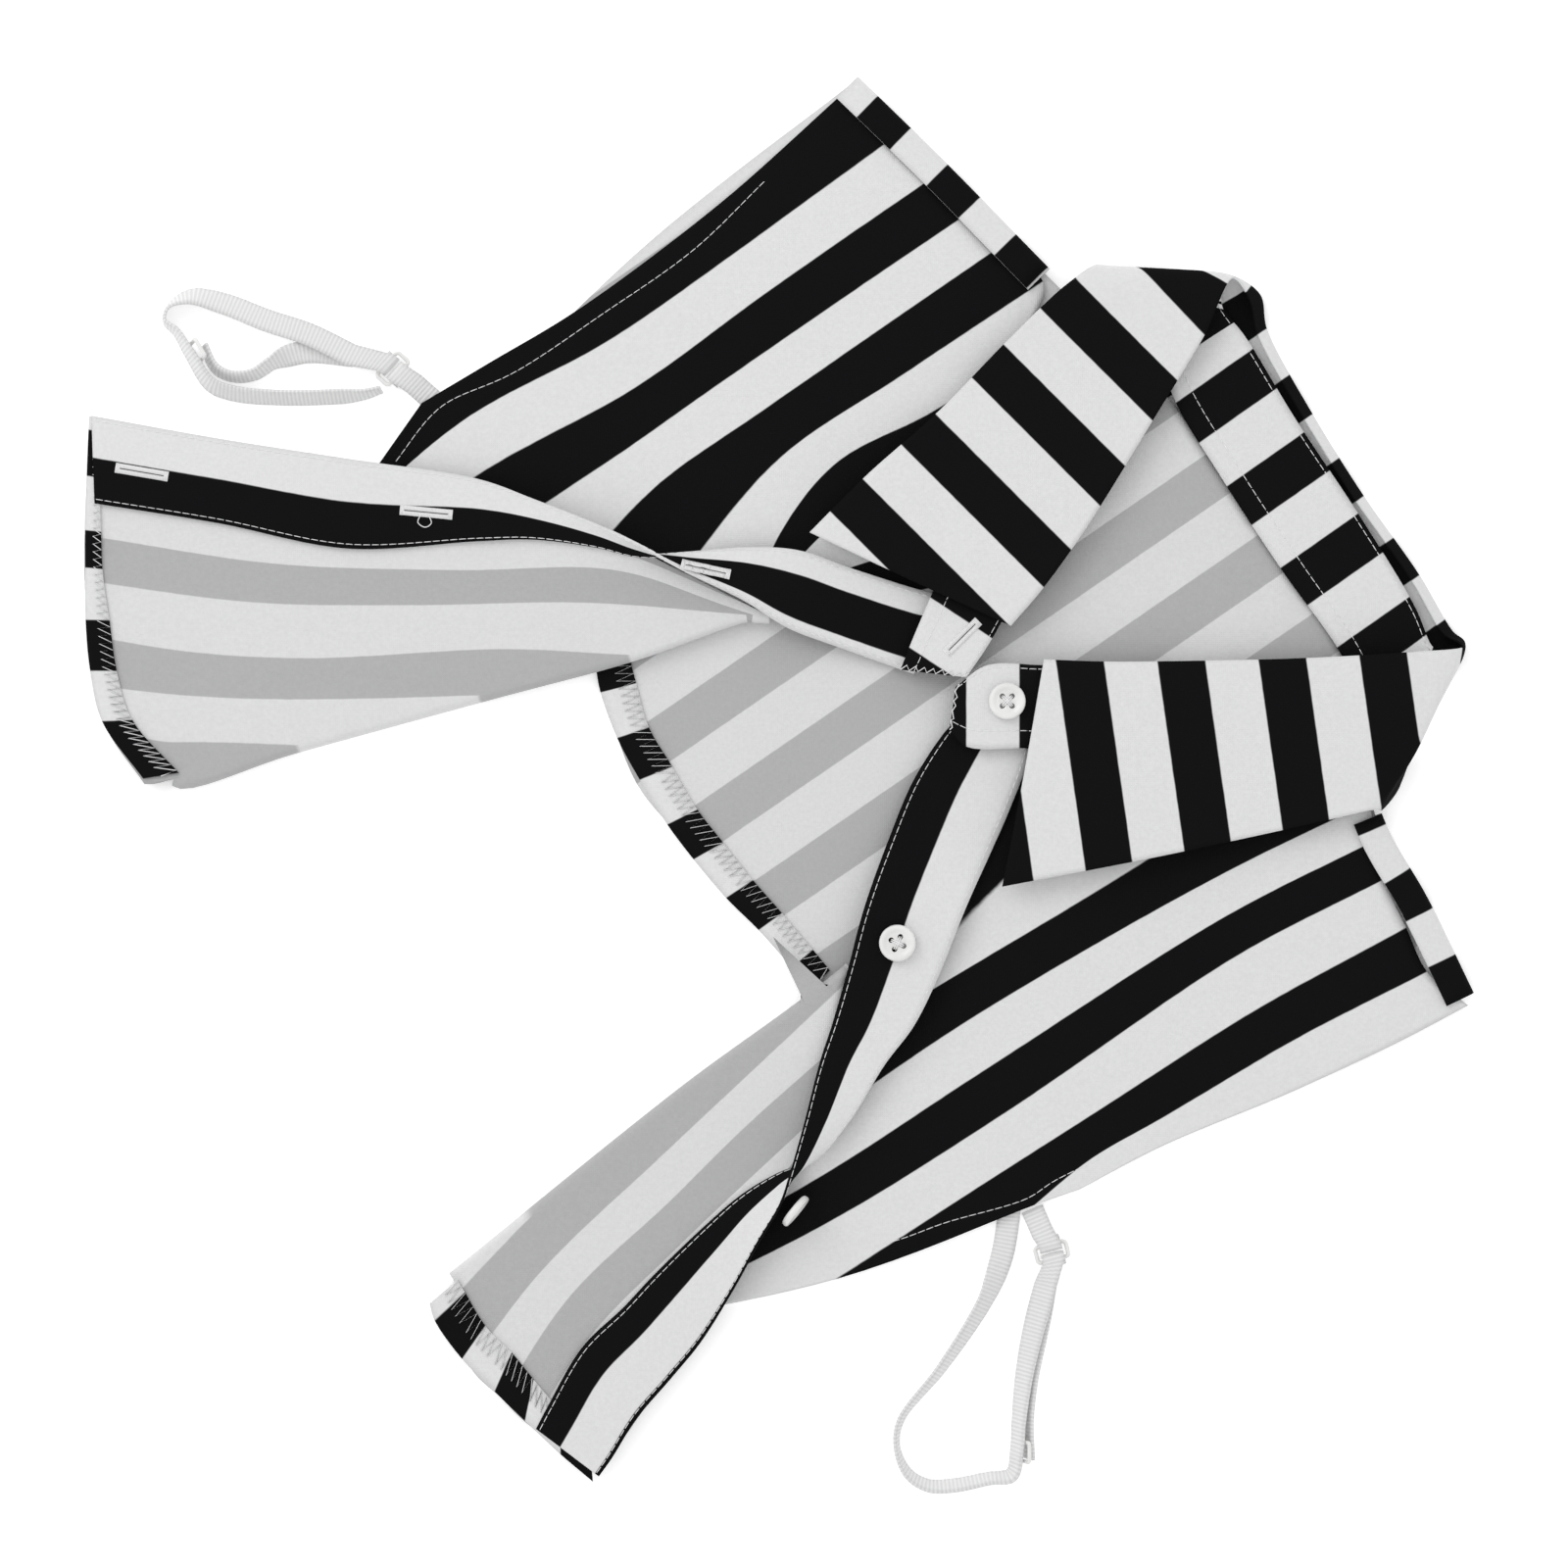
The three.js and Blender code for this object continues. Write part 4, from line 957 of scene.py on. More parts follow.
def zigzag(inner, outer, pitch, radius):
    """A thread that goes from one edge to the other and back."""
    inner, outer = resampled(inner, pitch), resampled(outer, pitch)
    count = min(len(inner), len(outer))
    inner = inner[np.linspace(0, len(inner) - 1, count).astype(int)]
    outer = outer[np.linspace(0, len(outer) - 1, count).astype(int)]
    path = [inner[i] if i % 2 == 0 else outer[i] for i in range(count)]
    return tube(path, radius, THREAD_SIDES)


# Hems turned up onto the wrong side, which show the right side's stripes
# Columns: hem, inner edge of the turn-up, stripe place; black lies within 0.237 of a whole number
LEFT_FLAP_HEM = (
    ((-207.6, 110.0), (-204.7, 109.4), -0.380),
    ((-207.8, 105.9), (-204.7, 105.3), -0.237),
    ((-208.3, 92.1), (-204.5, 91.5), 0.237),
    ((-208.8, 75.9), (-204.1, 75.4), 0.763),
    ((-208.8, 64.7), (-203.7, 64.2), 1.237),
    ((-208.7, 49.1), (-201.6, 48.9), 1.763),
    ((-207.3, 33.8), (-199.4, 33.7), 2.237),
    ((-203.8, 18.8), (-194.8, 19.2), 2.763),
    ((-191.4, 1.5), (-180.8, 3.2), 3.237),
)
BACK_HEM = (
    ((-56.5, 35.3), (-46.2, 37.6), -0.237),
    ((-55.0, 27.4), (-44.3, 30.2), 0.237),
    ((-50.0, 13.8), (-40.5, 17.0), 0.763),
    ((-43.2, 1.2), (-33.5, 5.2), 1.237),
    ((-35.0, -12.1), (-26.0, -7.6), 1.763),
    ((-27.1, -22.6), (-18.2, -17.6), 2.237),
    ((-17.4, -34.1), (-9.3, -28.8), 2.763),
    ((-7.6, -43.8), (-0.6, -38.7), 3.237),
    ((2.4, -55.0), (8.6, -49.6), 3.763),
    ((8.2, -61.2), (13.8, -55.9), 4.237),
)
LOWER_FLAP_HEM = (
    ((-105.9, -155.3), (-97.6, -148.2), -0.300),
    ((-104.4, -160.3), (-95.4, -151.9), -0.237),
    ((-96.2, -171.8), (-89.3, -161.9), 0.237),
    ((-86.5, -181.5), (-81.4, -169.9), 0.763),
    ((-77.4, -190.3), (-74.8, -178.0), 1.237),
    ((-66.8, -200.3), (-66.8, -186.9), 1.763),
    ((-57.1, -208.5), (-58.4, -193.2), 2.237),
)

# Lines of stitching along the armhole edges of the fronts
ARMHOLE_POINTS = 160
ARMHOLE_STITCHES = (
    ((-5.9, 180.3), (-27.4, 159.7), (-54.1, 140.9), (-80.9, 123.2), (-100.6, 114.4), (-106.5, 109.4),
     (-116.5, 96.2)),
    ((94.1, -112.4), (80.6, -119.1), (72.9, -124.1), (47.9, -131.5), (35.3, -136.2), (26.8, -138.5)),
)

# Buttonholes: the two ends of each slit
STAND_BUTTONHOLE = ((48.4, 39.1), (57.9, 48.5))
PLACKET_BUTTONHOLES = (
    ((-199.4, 94.4), (-184.1, 91.8)),
    ((-114.4, 81.8), (-99.1, 80.3)),
    ((-30.3, 65.3), (-16.2, 62.4)),
)

# Satin stitches, in millimetres from the slit's middle line, and the dark cord of painted shade in the slit
# between them
SATIN_PITCH = 0.42
SATIN_RADIUS = 0.24
SATIN_CROWN = 0.12
SATIN_MIDDLE = 0.9
SATIN_MIDDLE_REACH = 0.3
BUTTONHOLE_EDGE = 1.45
SLIT_EDGE = 0.16
BAR_INNER = -1.5
BAR_STITCHES = 3
SLIT_SHADE_RADIUS = 0.26
SLIT_SHADE_FLATNESS = 0.4
SLIT_SHADE_HEIGHT = 0.36
SLIT_SHADE_ENDS = (0.08, 0.92)
SLIT_SHADE_POINTS = 12
TOP_REACH = 1.6

# The loose end of thread that hangs from the middle buttonhole
LOOSE_THREAD_RADIUS = 0.15
LOOSE_THREAD_HEIGHT = 0.7
LOOSE_THREAD_POINTS = 24
LOOSE_THREAD = ((-108.4, 80.4), (-109.2, 78.0), (-107.0, 76.6), (-105.2, 77.8), (-105.8, 79.8))

# Cloth pieces, in metres
# Columns: solid it stands for, flat size, flat area, how it lies, what it rests on
SHEETS = {
    "back_panel_cloth": ("back_panel", (0.31, 0.20), 0.0563, "laid", ["table"]),
    "buttonhole_front_cloth": (
        "buttonhole_front", (0.141, 0.30), 0.0383, "folded", ["back_panel_cloth", "table"]),
    "button_front_cloth": ("button_front", (0.145, 0.28), 0.0322, "folded", ["back_panel_cloth", "table"]),
    "stand_cloth": ("collar_stand", (0.030, 0.42), 0.0113, "folded", ["back_panel_cloth"]),
    "leaf_cloth": ("collar_leaf", (0.067, 0.42), 0.0240, "folded", ["stand_cloth", "table"]),
    "buttonhole_placket_cloth": (
        "buttonhole_placket", (0.026, 0.275), 0.0060, "folded", ["buttonhole_front_cloth"]),
    "button_placket_cloth": ("button_placket", (0.028, 0.25), 0.0064, "folded", ["button_front_cloth"]),
}

# Plackets; stripes are placed in millimetres from the free edge, on the right side and the facing
# Columns: rows, samples along, width, first stripe, first stripe on the facing, pitch
PLACKETS = {
    "buttonhole_placket_cloth": (BUTTONHOLE_PLACKET, 300, 26.0, 11.0, 19.6, 30.25),
    "button_placket_cloth": (BUTTON_PLACKET, 320, 28.0, 5.8, 24.2, 29.4),
}

# Rings and sliders: length, width, wire, thickness; then place, turn in the table's plane, lean
RING = (10.8, 6.0, 1.3, 1.2)
SLIDER = (10.0, 7.0, 1.2, 1.2)
FRAME_CORNER = 0.7
FRAME_SIDES = 12
QUARTERS = ((1, 1), (-1, 1), (-1, -1), (1, -1))
RING_HEIGHT = 2.2
TURN_RADIUS = 1.6
TAIL_LENGTH = 2.2
LEFT_RING = ((-117.2, 124.4, RING_HEIGHT), 48, 0)
RIGHT_RING = ((80.2, -140.2, RING_HEIGHT), 15, 0)
LEFT_SLIDER = ((-175.7, 129.2, 4.9), 30, -64)
RIGHT_SLIDER = ((71.2, -199.4, 4.9), 0, -64)
ELASTIC_WIDTH = 6.8
ELASTIC_THICKNESS = 1.0
RIBBED_THICKNESS = 0.9

# Columns: bends, samples along them, the ring whose bar the band turns round, and the side of it
ELASTICS = {
    "left_elastic": (LEFT_ELASTIC, 260, LEFT_RING, 1),
    "left_elastic_return": (LEFT_ELASTIC_RETURN, 140, None, 0),
    "left_tab": (LEFT_TAB, 24, LEFT_RING, -1),
    "right_elastic": (RIGHT_ELASTIC, 300, RIGHT_RING, -1),
    "right_elastic_return": (RIGHT_ELASTIC_RETURN, 90, None, 0),
    "right_tab": (RIGHT_TAB, 24, RIGHT_RING, 1),
}
# Columns: size, and place with its turns
FRAMES = {
    "left_ring": (RING, LEFT_RING),
    "right_ring": (RING, RIGHT_RING),
    "left_slider": (SLIDER, LEFT_SLIDER),
    "right_slider": (SLIDER, RIGHT_SLIDER),
}

# Buttons: middle of the disc, turn in the table's plane, lean
BUTTONS = {
    "button_1_on_stand": ((66.5, 24.7, 8.95), 0, 0),
    "button_2_on_placket": ((33.8, -47.4, 9.0), 20, 0),
    "button_3_on_edge": ((3.4, -127.4, 6.95), -39, 82),
    "button_4_under_flap": ((-55.3, -187.6, 2.3), 35, 0),
}
BUTTON_HOLE_DIAMETER = 1.6
BUTTON_HOLE_SPACING = 2.9
BUTTON_HOLE_SIDES = 20
BUTTON_DRILL_REACH = 3
BUTTON_SIDES = 64
BUTTON_EDGE_ROUNDING = 0.1
# Thread from one hole to the one across; columns: share of the way, height over the disc's middle
BUTTON_THREAD = ((0, 0.1), (0.12, 0.62), (0.5, 0.85), (0.88, 0.62), (1, 0.1))
BUTTON_THREAD_RADIUS = 0.2
BUTTON_STRAND_OFFSET = 0.18
# Columns: distance from the middle, height from the middle of the disc
BUTTON_PROFILE = (
    (0.0, 0.45), (2.9, 0.45), (3.5, 0.6), (4.0, 0.95), (4.5, 1.1), (5.0, 1.02), (5.36, 0.7),
    (5.5, 0.2), (5.4, -0.45), (5.05, -0.9), (4.4, -1.1), (0.0, -1.1),
)


def placed(points, place, turn, lean):
    """Points leant about the y axis, turned about z, and moved to their place."""
    move = Matrix.Translation(place) @ Matrix.Rotation(math.radians(turn), 4, "Z")
    move = move @ Matrix.Rotation(math.radians(lean), 4, "Y")
    return [move @ Vector(point) for point in points]


def hem_rows(table, height):
    def hem_height(x, y):
        return height(x, y) + HEM_LIFT

    edges = []
    for column in (0, 1):
        edges.append([(*row[column], hem_height(*row[column]), row[2]) for row in table])
    rows = sheet_grid(edges, HEM_STEPS_ACROSS, HEM_STEPS_A_ROW * len(table))
    set_heights(rows, hem_height)
    return raised(rows)


def turned_up_hem(name, table, height):
    """A hem turned up onto the wrong side, with overlock thread over its inner half."""
    rows = hem_rows(table, height)
    piece = sheet_object(name + "_turn_up", rows, [right_side()], HEM_THICKNESS)
    settle(piece)
    edge, middle = on_side(rows, 1.0, OVERLOCK_HEIGHT), on_side(rows, 0.5, OVERLOCK_HEIGHT)
    thread_piece(name + "_overlock", [zigzag(edge, middle, **OVERLOCK)])


def thread_piece(name, parts):
    settle(joined_mesh(name, parts, [thread_material()]))


# The dark cords of painted shade in the buttonhole slits
def slit_shade_piece(name, parts):
    settle(joined_mesh(name, parts, [slit_painted_shade_material()]))


def cloth_piece(name, rows, materials, facing=None):
    """One of the collar's sheets, in the place of the solid that it stands for."""
    node, flat, area, held, rests_on = SHEETS[name]
    piece = sheet_object(name, rows, materials, bpy.context.scene.collar_cloth.thickness / MM, facing)
    settle(piece, [node])


def band_rows(bends, steps):
    """A band that follows its bends; lift is its lower edge's height and tilt its lean."""
    path, tilts = [], []
    for i, ((x, y), lift, tilt) in enumerate(bends):
        lean = math.radians(tilt)
        centre = lift + (ELASTIC_WIDTH * math.sin(lean) + ELASTIC_THICKNESS * math.cos(lean)) / 2
        path.append((x, y, centre))
        tilts.append((i, tilt, 0))
    path, tilts = Curve(path), Curve(tilts)
    rows = []
    for k in range(steps + 1):
        t = k / steps
        travel = path.at(min(t + 0.001, 1.0)) - path.at(max(t - 0.001, 0.0))
        travel[2] = 0
        travel /= np.linalg.norm(travel)
        lean = math.radians(tilts.at(t)[1])
        half = np.array((-travel[1] * math.cos(lean), travel[0] * math.cos(lean), math.sin(lean)))
        centre = path.at(t)
        rows.append([centre + half * ELASTIC_WIDTH / 2 * side for side in BAND_PLACES])
    return rows


def ring_turn(ring, side):
    """The half turn of a band round one bar of a ring, with its tail beneath."""
    place, turn, _ = ring
    heading = math.radians(turn)
    away = np.array((-math.sin(heading), math.cos(heading), 0)) * side
    half = np.array((-away[1], away[0], 0)) * ELASTIC_WIDTH / 2
    bar = (RING[1] - RING[2]) / 2
    stops = [(bar + TAIL_LENGTH, -TURN_RADIUS)]
    for k in range(RING_TURN_STEPS + 1):
        angle = math.pi * k / RING_TURN_STEPS
        stops.append((bar - TURN_RADIUS * math.sin(angle), -TURN_RADIUS * math.cos(angle)))
    rows = []
    for out, up in stops:
        centre = np.array(place) + away * out + (0, 0, up)
        rows.append([centre + half * across for across in BAND_PLACES])
    return rows


def elastic_piece(name, bends, steps, first_rows):
    rows = [*first_rows, *band_rows(bends, steps)]
    pitch = bpy.context.scene.collar_notions.rib_pitch / MM
    along = 0.0
    kept = []
    for i, row in enumerate(rows):
        if i:
            along += float(np.linalg.norm(row[2] - rows[i - 1][2])) / pitch
        kept.append([(*point, along) for point in row])
    piece = sheet_object(name + "_ribbed", kept, [elastic_material()], RIBBED_THICKNESS)
    settle(piece, [name])


def frame_piece(name, size, ring):
    """A rounded frame of one wire, as a ring or slider of a shoulder strap."""
    length, width, wire, thickness = size
    half_length, half_width = (length - wire) / 2, (width - wire) / 2
    corner = wire * FRAME_CORNER
    path = []
    for quarter, (sx, sy) in enumerate(QUARTERS):
        for k in range(FRAME_CORNER_STEPS + 1):
            angle = math.pi / 2 * (quarter + k / FRAME_CORNER_STEPS)
            path.append((
                sx * (half_length - corner) + corner * math.cos(angle),
                sy * (half_width - corner) + corner * math.sin(angle),
                0,
            ))
    vertices, faces = tube(path, wire / 2, FRAME_SIDES, closed=True, flat=thickness / wire)
    piece = joined_mesh(name + "_polished", [(placed(vertices, *ring), faces)], [resin_material()])
    settle(piece, [name])


def button_mesh():
    """A turned disc with a raised rim, cut through by four holes."""
    sides = BUTTON_SIDES
    vertices, faces = [], []
    for radius, height in BUTTON_PROFILE[1:-1]:
        for k in range(sides):
            angle = 2 * math.pi * k / sides
            vertices.append((radius * math.cos(angle), radius * math.sin(angle), height))
    rings = len(BUTTON_PROFILE) - 2
    for i in range(rings - 1):
        for k in range(sides):
            n = (k + 1) % sides
            faces.append((i * sides + k, (i + 1) * sides + k, (i + 1) * sides + n, i * sides + n))
    faces.append(tuple(range(sides)))
    faces.append(tuple(reversed(range((rings - 1) * sides, rings * sides))))
    disc = joined_mesh("button disc", [(vertices, faces)], [])
    drills = []
    for side_x, side_y in QUARTERS:
        centre = (side_x * BUTTON_HOLE_SPACING / 2, side_y * BUTTON_HOLE_SPACING / 2)
        ends = ((*centre, -BUTTON_DRILL_REACH), (*centre, BUTTON_DRILL_REACH))
        drills.append(tube(ends, BUTTON_HOLE_DIAMETER / 2, BUTTON_HOLE_SIDES))
    drill = joined_mesh("button drill", drills, [])
    cut = disc.modifiers.new("holes", "BOOLEAN")
    cut.object = drill
    cut.solver = "EXACT"
    bpy.context.view_layer.update()
    mesh = bpy.data.meshes.new_from_object(disc.evaluated_get(bpy.context.evaluated_depsgraph_get()))
    bpy.data.objects.remove(disc)
    bpy.data.objects.remove(drill)
    return mesh


def button_threads(place, turn, lean):
    """Thread over a button's four holes, two strands each way."""
    hole = BUTTON_HOLE_SPACING / 2
    parts = []
    for offset in (-BUTTON_STRAND_OFFSET, BUTTON_STRAND_OFFSET):
        for start, end in (((-hole, -hole), (hole, hole)), ((-hole, hole), (hole, -hole))):
            points = []
            for share, height in BUTTON_THREAD:
                x = start[0] + (end[0] - start[0]) * share + offset
                y = start[1] + (end[1] - start[1]) * share - offset * math.copysign(1, end[1])
                points.append((x, y, height))
            vertices, faces = tube(points, BUTTON_THREAD_RADIUS)
            parts.append((placed(vertices, place, turn, lean), faces))
    return parts


def top_of(rows, x, y):
    """The greatest height of a sheet near a place in plan."""
    points = np.array([point[:3] for row in rows for point in row])
    distance = np.hypot(points[:, 0] - x, points[:, 1] - y)
    return float(points[distance < max(TOP_REACH, distance.min() + 0.1), 2].max())


def buttonhole_parts(rows, ends):
    """Satin stitches down both sides of a slit, a bar across each end, and a dark cord of painted shade along
    the slit.
    """
    start, end = np.array(ends[0]), np.array(ends[1])
    length = np.linalg.norm(end - start)
    travel = (end - start) / length
    side = np.array((-travel[1], travel[0]))
    threads, slit = [], []
    count = int(length / SATIN_PITCH)
    for k in range(count + 1):
        middle = start + travel * length * k / count
        at_end = k < BAR_STITCHES or k > count - BAR_STITCHES
        inner = BAR_INNER if at_end else SLIT_EDGE
        for way in (-1, 1):
            points = []
            for across in (inner, (inner + BUTTONHOLE_EDGE) / 2, BUTTONHOLE_EDGE):
                x, y = middle + side * across * way
                crown = SATIN_CROWN if abs(across - SATIN_MIDDLE) < SATIN_MIDDLE_REACH else 0
                points.append((x, y, top_of(rows, x, y) + STITCH_HEIGHT + crown))
            threads.append(tube(points, SATIN_RADIUS, THREAD_SIDES))
    # A dark cord of painted shade along the cut
    for share in np.linspace(*SLIT_SHADE_ENDS, SLIT_SHADE_POINTS):
        x, y = start + travel * length * share
        slit.append((x, y, top_of(rows, x, y) + SLIT_SHADE_HEIGHT))
    return threads, [tube(slit, SLIT_SHADE_RADIUS, flat=SLIT_SHADE_FLATNESS)]


def length(name, description, value, low, high):
    return FloatProperty(name=name, description=description, default=value, min=low, max=high, unit="LENGTH")


def amount(name, description, value, low, high, **kind):
    return FloatProperty(name=name, description=description, default=value, min=low, max=high, **kind)


def colour(name, description, value):
    return FloatVectorProperty(
        name=name, description=description, default=value, size=3, min=0, max=1, subtype="COLOR")


class CollarCloth(bpy.types.PropertyGroup):
    """Sizes and colours of the striped cotton."""

    thickness: length("Cloth thickness", "Thickness of one layer of cotton", 0.0007, 0.0003, 0.0012)
    detail: IntProperty(
        name="Rows per stripe edge", description="How finely each sheet is sampled", default=8, min=2, max=16)
    stripe_share: amount(
        "Black share", "Share of the pitch that a black stripe takes", 0.474, 0.1, 0.9, subtype="FACTOR")
    ground: colour("White", "Ground colour of the right side", (0.72, 0.72, 0.725))
    stripe: colour("Black", "Stripe colour of the right side", (0.0045, 0.0045, 0.005))
    wrong_ground: colour("White, wrong side", "Ground colour of the wrong side", (0.69, 0.69, 0.695))
    wrong_stripe: colour(
        "Grey, wrong side", "Stripe colour as it shows on the wrong side", (0.43, 0.43, 0.435))


class CollarNotions(bpy.types.PropertyGroup):
    """Sizes and colours of the thread, elastic and resin parts."""

    stitch_length: length("Stitch length", "Length of one running stitch", 0.0021, 0.0008, 0.006)
    thread_radius: length("Thread radius", "Radius of the sewing thread", 0.00012, 0.00005, 0.0004)
    rib_pitch: length("Rib pitch", "Distance between the ribs of the elastic", 0.0012, 0.0005, 0.004)
    thread: colour("Thread", "Colour of the thread", (0.8, 0.8, 0.8))
    elastic: colour("Elastic", "Colour of the elastic's ribs", (0.78, 0.78, 0.78))
    resin: colour("Resin", "Colour of the buttons, rings and sliders", (0.8, 0.8, 0.79))


class CollarStage(bpy.types.PropertyGroup):
    """The table, light and camera."""

    floor: colour("Table", "Colour of the table", (0.95, 0.95, 0.95))
    floor_glow: amount("Table glow", "Light that the table gives, which clears its shadows", 0.3, 0, 2)
    sky: amount("Surrounding light", "Strength of the even light", 0.93, 0, 3)
    key_power: amount("Soft light", "Power of the large soft lamp", 6.0, 0, 100, unit="POWER")
    camera_height: length("Camera height", "Height of the camera above the table", 1.307, 0.5, 4)


class COLLAR_OT_back_panel(bpy.types.Operator):
    """Build the back panel, wrong side up, with its shoulder turns and turned-up hem"""

    bl_idname = "collar.back_panel"
    bl_label = "Back panel"

    def execute(self, context):
        rows = back_panel_rows(context.scene.collar_cloth.detail)
        cloth_piece("back_panel_cloth", rows, [wrong_side(), right_side()])
        turned_up_hem("back_hem", BACK_HEM, back_height)
        return {"FINISHED"}


class COLLAR_OT_fronts(bpy.types.Operator):
    """Build both fronts with the flaps that roll over them and their turned-up hems"""

    bl_idname = "collar.fronts"
    bl_label = "Fronts"

    def execute(self, context):
        sides = (
            ("buttonhole_front", buttonhole_front_rows, LEFT_FLAP_HEM),
            ("button_front", button_front_rows, LOWER_FLAP_HEM),
        )
        for node, make_rows, hem in sides:
            rows = make_rows(context.scene.collar_cloth.detail)
            cloth_piece(node + "_cloth", rows, [right_side(), wrong_side()])
            turned_up_hem(node + "_hem", hem, flap_height)
        return {"FINISHED"}


class COLLAR_OT_plackets(bpy.types.Operator):
    """Build the buttonhole and button plackets, which turn over part of the way down"""

    bl_idname = "collar.plackets"
    bl_label = "Plackets"

    def execute(self, context):
        threads, slit_shades = [], []
        for name, settings in PLACKETS.items():
            rows, facing = placket_rows(*settings)
            cloth_piece(name, rows, [right_side(), facing_side()], facing)
            for across in PLACKET_STITCHES:
                threads += sewn_through(rows, across)
            if name == "buttonhole_placket_cloth":
                for ends in PLACKET_BUTTONHOLES:
                    bars, slit = buttonhole_parts(rows, ends)
                    threads += bars
                    slit_shades += slit
                loop = Curve([(x, y, top_of(rows, x, y) + LOOSE_THREAD_HEIGHT) for x, y in LOOSE_THREAD])
                threads.append(tube(loop.samples(LOOSE_THREAD_POINTS), LOOSE_THREAD_RADIUS))
        thread_piece("placket_stitching", threads)
        slit_shade_piece("placket_buttonhole_slit_shades", slit_shades)
        return {"FINISHED"}


class COLLAR_OT_stand_and_leaf(bpy.types.Operator):
    """Build the collar's stand and leaf with their stitching and the stand's buttonhole"""

    bl_idname = "collar.stand_and_leaf"
    bl_label = "Stand and leaf"

    def execute(self, context):
        stand = stand_rows(across=12, along=420)
        cloth_piece("stand_cloth", stand, [right_side()])
        cloth_piece("leaf_cloth", leaf_rows(across=36, along=420), [right_side()])
        threads, slit = buttonhole_parts(stand, STAND_BUTTONHOLE)
        for across in STAND_STITCHES:
            threads += sewn_through(stand, across)
        lengthwise = np.array(stand).transpose(1, 0, 2)
        for end, inside in ((0.0, STAND_ZIGZAG_WIDTH), (1.0, 1 - STAND_ZIGZAG_WIDTH)):
            edge = on_side(lengthwise, end, STAND_ZIGZAG_HEIGHT)
            inner = on_side(lengthwise, inside, STAND_ZIGZAG_HEIGHT)
            threads.append(zigzag(edge, inner, **STAND_ZIGZAG))
        thread_piece("stand_and_leaf_stitching", threads)
        slit_shade_piece("stand_buttonhole_slit_shade", slit)
        return {"FINISHED"}


class COLLAR_OT_armhole_stitching(bpy.types.Operator):
    """Sew the line of stitches along each front's armhole edge"""

    bl_idname = "collar.armhole_stitching"
    bl_label = "Armhole stitching"

    def execute(self, context):
        threads = []
        for line in ARMHOLE_STITCHES:
            plan = Curve([(x, y, 0) for x, y in line]).samples(ARMHOLE_POINTS)
            threads += stitches([(x, y, front_height(x, y) + rise(x, y) + STITCH_HEIGHT) for x, y, _ in plan])
        thread_piece("armhole_stitching", threads)
        return {"FINISHED"}


class COLLAR_OT_elastics(bpy.types.Operator):
    """Build the two elastic loops and the tabs that join their rings to the fronts"""

    bl_idname = "collar.elastics"
    bl_label = "Elastic loops"

    def execute(self, context):
        for node, (bends, steps, ring, side) in ELASTICS.items():
            elastic_piece(node, bends, steps, ring_turn(ring, side) if ring else ())
        return {"FINISHED"}


class COLLAR_OT_rings_and_sliders(bpy.types.Operator):
    """Build the rings and sliders of the elastic loops"""

    bl_idname = "collar.rings_and_sliders"
    bl_label = "Rings and sliders"

    def execute(self, context):
        for node, (size, place) in FRAMES.items():
            frame_piece(node, size, place)
        return {"FINISHED"}


class COLLAR_OT_buttons(bpy.types.Operator):
    """Build the four buttons and the thread that sews them on"""

    bl_idname = "collar.buttons"
    bl_label = "Buttons"

    def execute(self, context):
        disc = button_mesh()
        for node, (place, turn, lean) in BUTTONS.items():
            x, y, z = place
            place = (x, y, z + rise(x, y))
            mesh = disc.copy()
            points = [vertex.co / MM for vertex in mesh.vertices]
            for vertex, point in zip(mesh.vertices, placed(points, place, turn, lean)):
                vertex.co = point * MM
            piece = show(node + "_turned", mesh, [resin_material()])
            piece.modifiers.new("rounded edges", "BEVEL").width = BUTTON_EDGE_ROUNDING * MM
            settle(piece, [node])
            thread_piece(node + "_thread", button_threads(place, turn, lean))
        return {"FINISHED"}


# The table's half side in millimetres, the lamp in metres, and the lens in millimetres
TABLE_REACH = 2e4
LAMP_SIZE = 0.9
LAMP_PLACE = (-0.9, 0.9, 1.0)
LENS = 100
SENSOR_WIDTH = 36


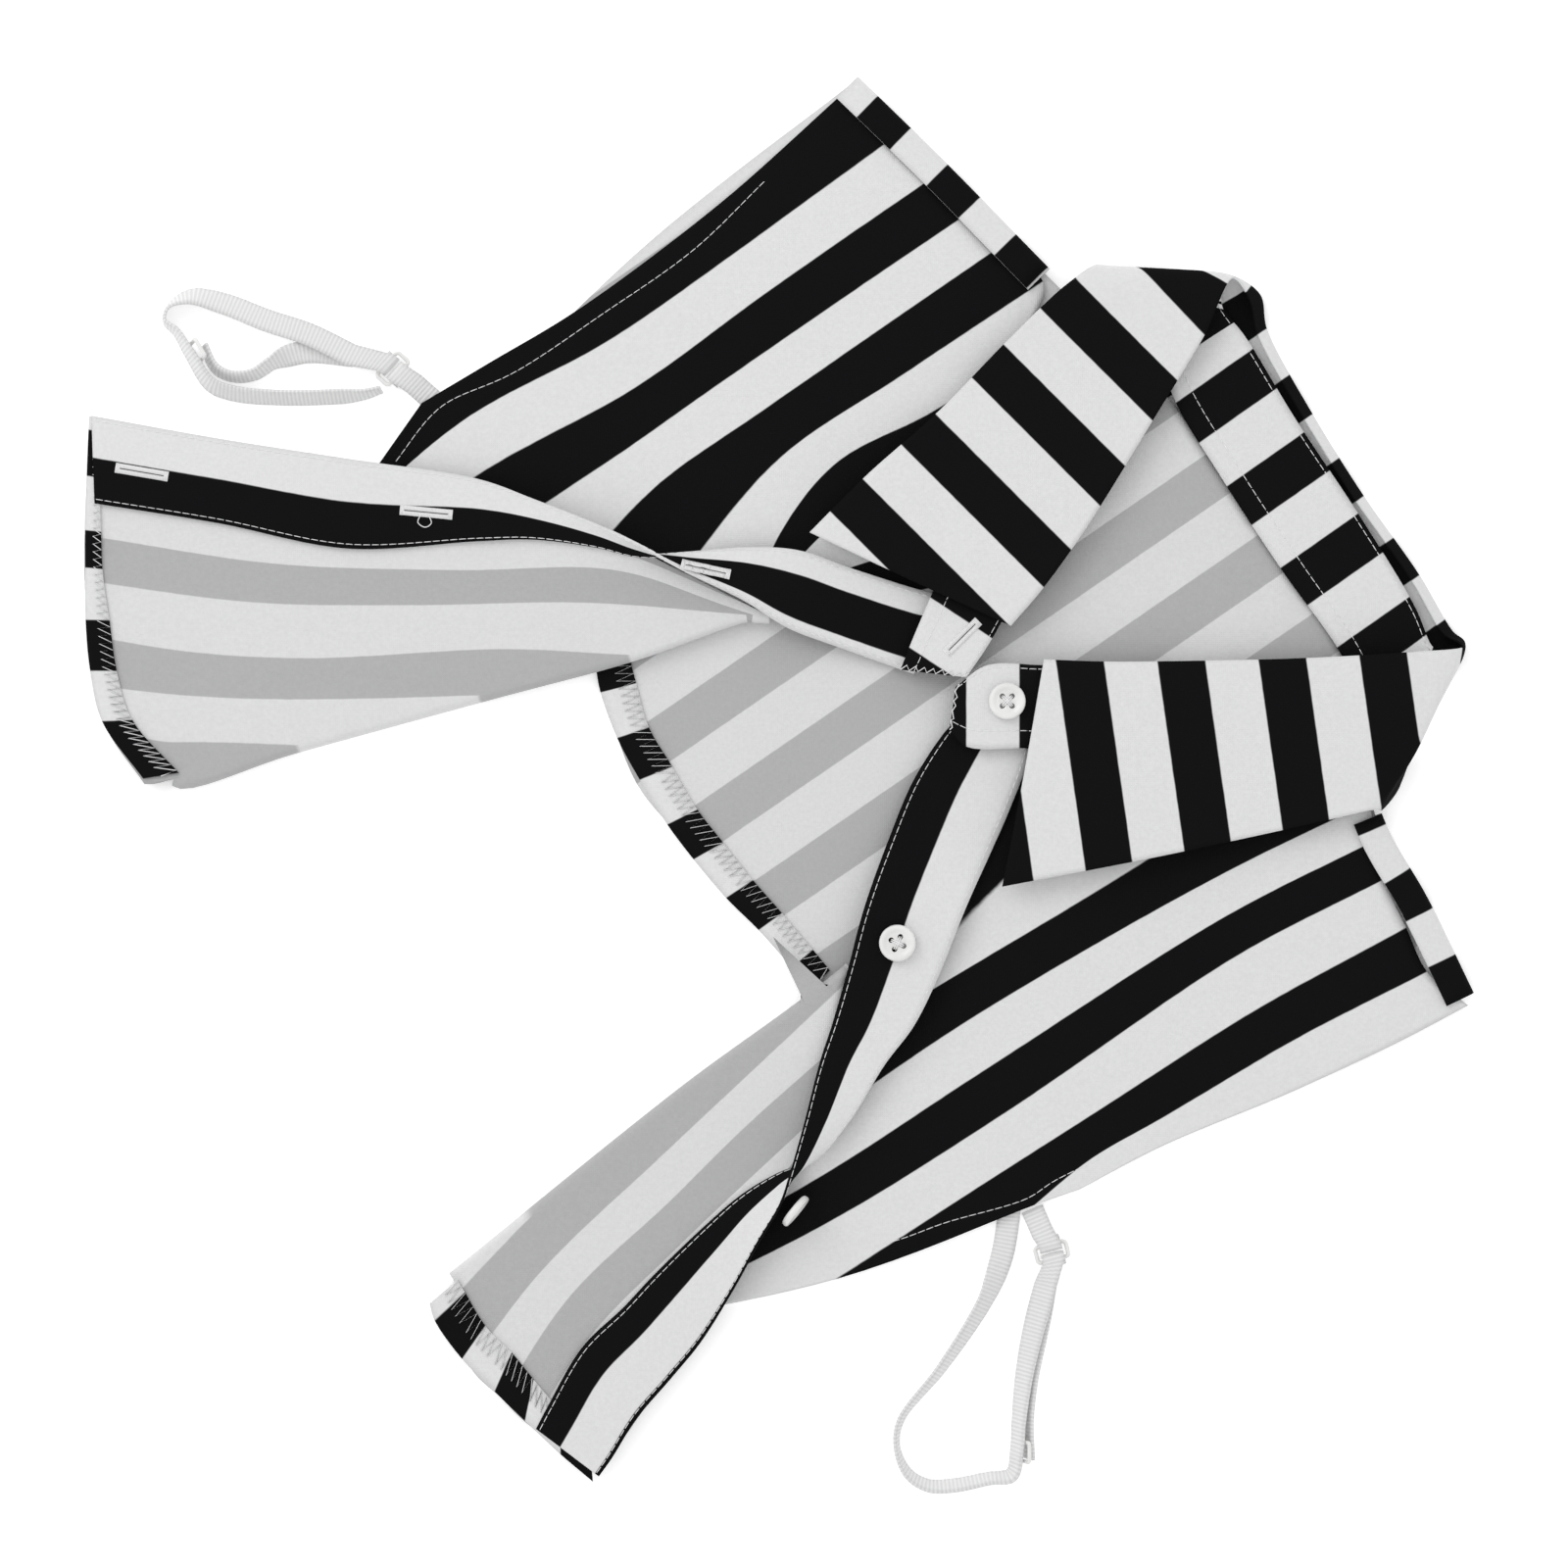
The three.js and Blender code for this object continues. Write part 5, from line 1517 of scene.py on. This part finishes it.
class COLLAR_OT_stage(bpy.types.Operator):
    """Set the white table, the soft light and the camera straight above"""

    bl_idname = "collar.stage"
    bl_label = "Table, light and camera"

    def execute(self, context):
        settings = context.scene.collar_stage
        shader = Shader("white table", roughness=0.9)
        shader.colour(rgba(settings.floor))
        shader.surface.inputs["Emission Color"].default_value = (1, 1, 1, 1)
        shader.surface.inputs["Emission Strength"].default_value = settings.floor_glow
        corners = [(x * TABLE_REACH, y * TABLE_REACH, 0) for x, y in ((-1, -1), (1, -1), (1, 1), (-1, 1))]
        floor = joined_mesh("table", [(corners, [(0, 1, 2, 3)])], [shader.material])
        world = bpy.data.worlds.new("even light")
        world.use_nodes = True
        light = world.node_tree.nodes["Background"].inputs
        light["Color"].default_value = (1, 1, 1, 1)
        light["Strength"].default_value = settings.sky
        context.scene.world = world
        lamp = bpy.data.lights.new("soft lamp", "AREA")
        lamp.energy = settings.key_power
        lamp.size = LAMP_SIZE
        key = bpy.data.objects.new("soft lamp", lamp)
        key.location = LAMP_PLACE
        key.rotation_euler = (-key.location).to_track_quat("-Z", "Y").to_euler()
        context.scene.collection.objects.link(key)
        lens = bpy.data.cameras.new("camera")
        lens.lens = LENS
        lens.sensor_width = SENSOR_WIDTH
        camera = bpy.data.objects.new("camera", lens)
        camera.location = (0, 0, settings.camera_height)
        context.scene.collection.objects.link(camera)
        context.scene.camera = camera
        context.scene.view_settings.view_transform = "Standard"
        return {"FINISHED"}


OPERATORS = (
    COLLAR_OT_stage,
    COLLAR_OT_back_panel,
    COLLAR_OT_fronts,
    COLLAR_OT_stand_and_leaf,
    COLLAR_OT_plackets,
    COLLAR_OT_armhole_stitching,
    COLLAR_OT_elastics,
    COLLAR_OT_rings_and_sliders,
    COLLAR_OT_buttons,
)


class COLLAR_PT_build(bpy.types.Panel):
    """Lists the pieces and their settings."""

    bl_idname = "COLLAR_PT_build"
    bl_label = "Detachable collar"
    bl_space_type = "VIEW_3D"
    bl_region_type = "UI"
    bl_category = "Collar"

    def draw(self, context):
        scene = context.scene
        for settings in (scene.collar_cloth, scene.collar_notions, scene.collar_stage):
            box = self.layout.box()
            for name in settings.__annotations__:
                box.prop(settings, name)
        for operator in OPERATORS:
            self.layout.operator(operator.bl_idname)


CLASSES = (CollarCloth, CollarNotions, CollarStage, *OPERATORS, COLLAR_PT_build)


def register():
    for item in CLASSES:
        bpy.utils.register_class(item)
    bpy.types.Scene.collar_cloth = PointerProperty(type=CollarCloth)
    bpy.types.Scene.collar_notions = PointerProperty(type=CollarNotions)
    bpy.types.Scene.collar_stage = PointerProperty(type=CollarStage)


def unregister():
    del bpy.types.Scene.collar_stage
    del bpy.types.Scene.collar_notions
    del bpy.types.Scene.collar_cloth
    for item in reversed(CLASSES):
        bpy.utils.unregister_class(item)


def main():
    register()
    for operator in OPERATORS:
        group, name = operator.bl_idname.split(".")
        getattr(getattr(bpy.ops, group), name)()


if __name__ == "__main__":
    main()
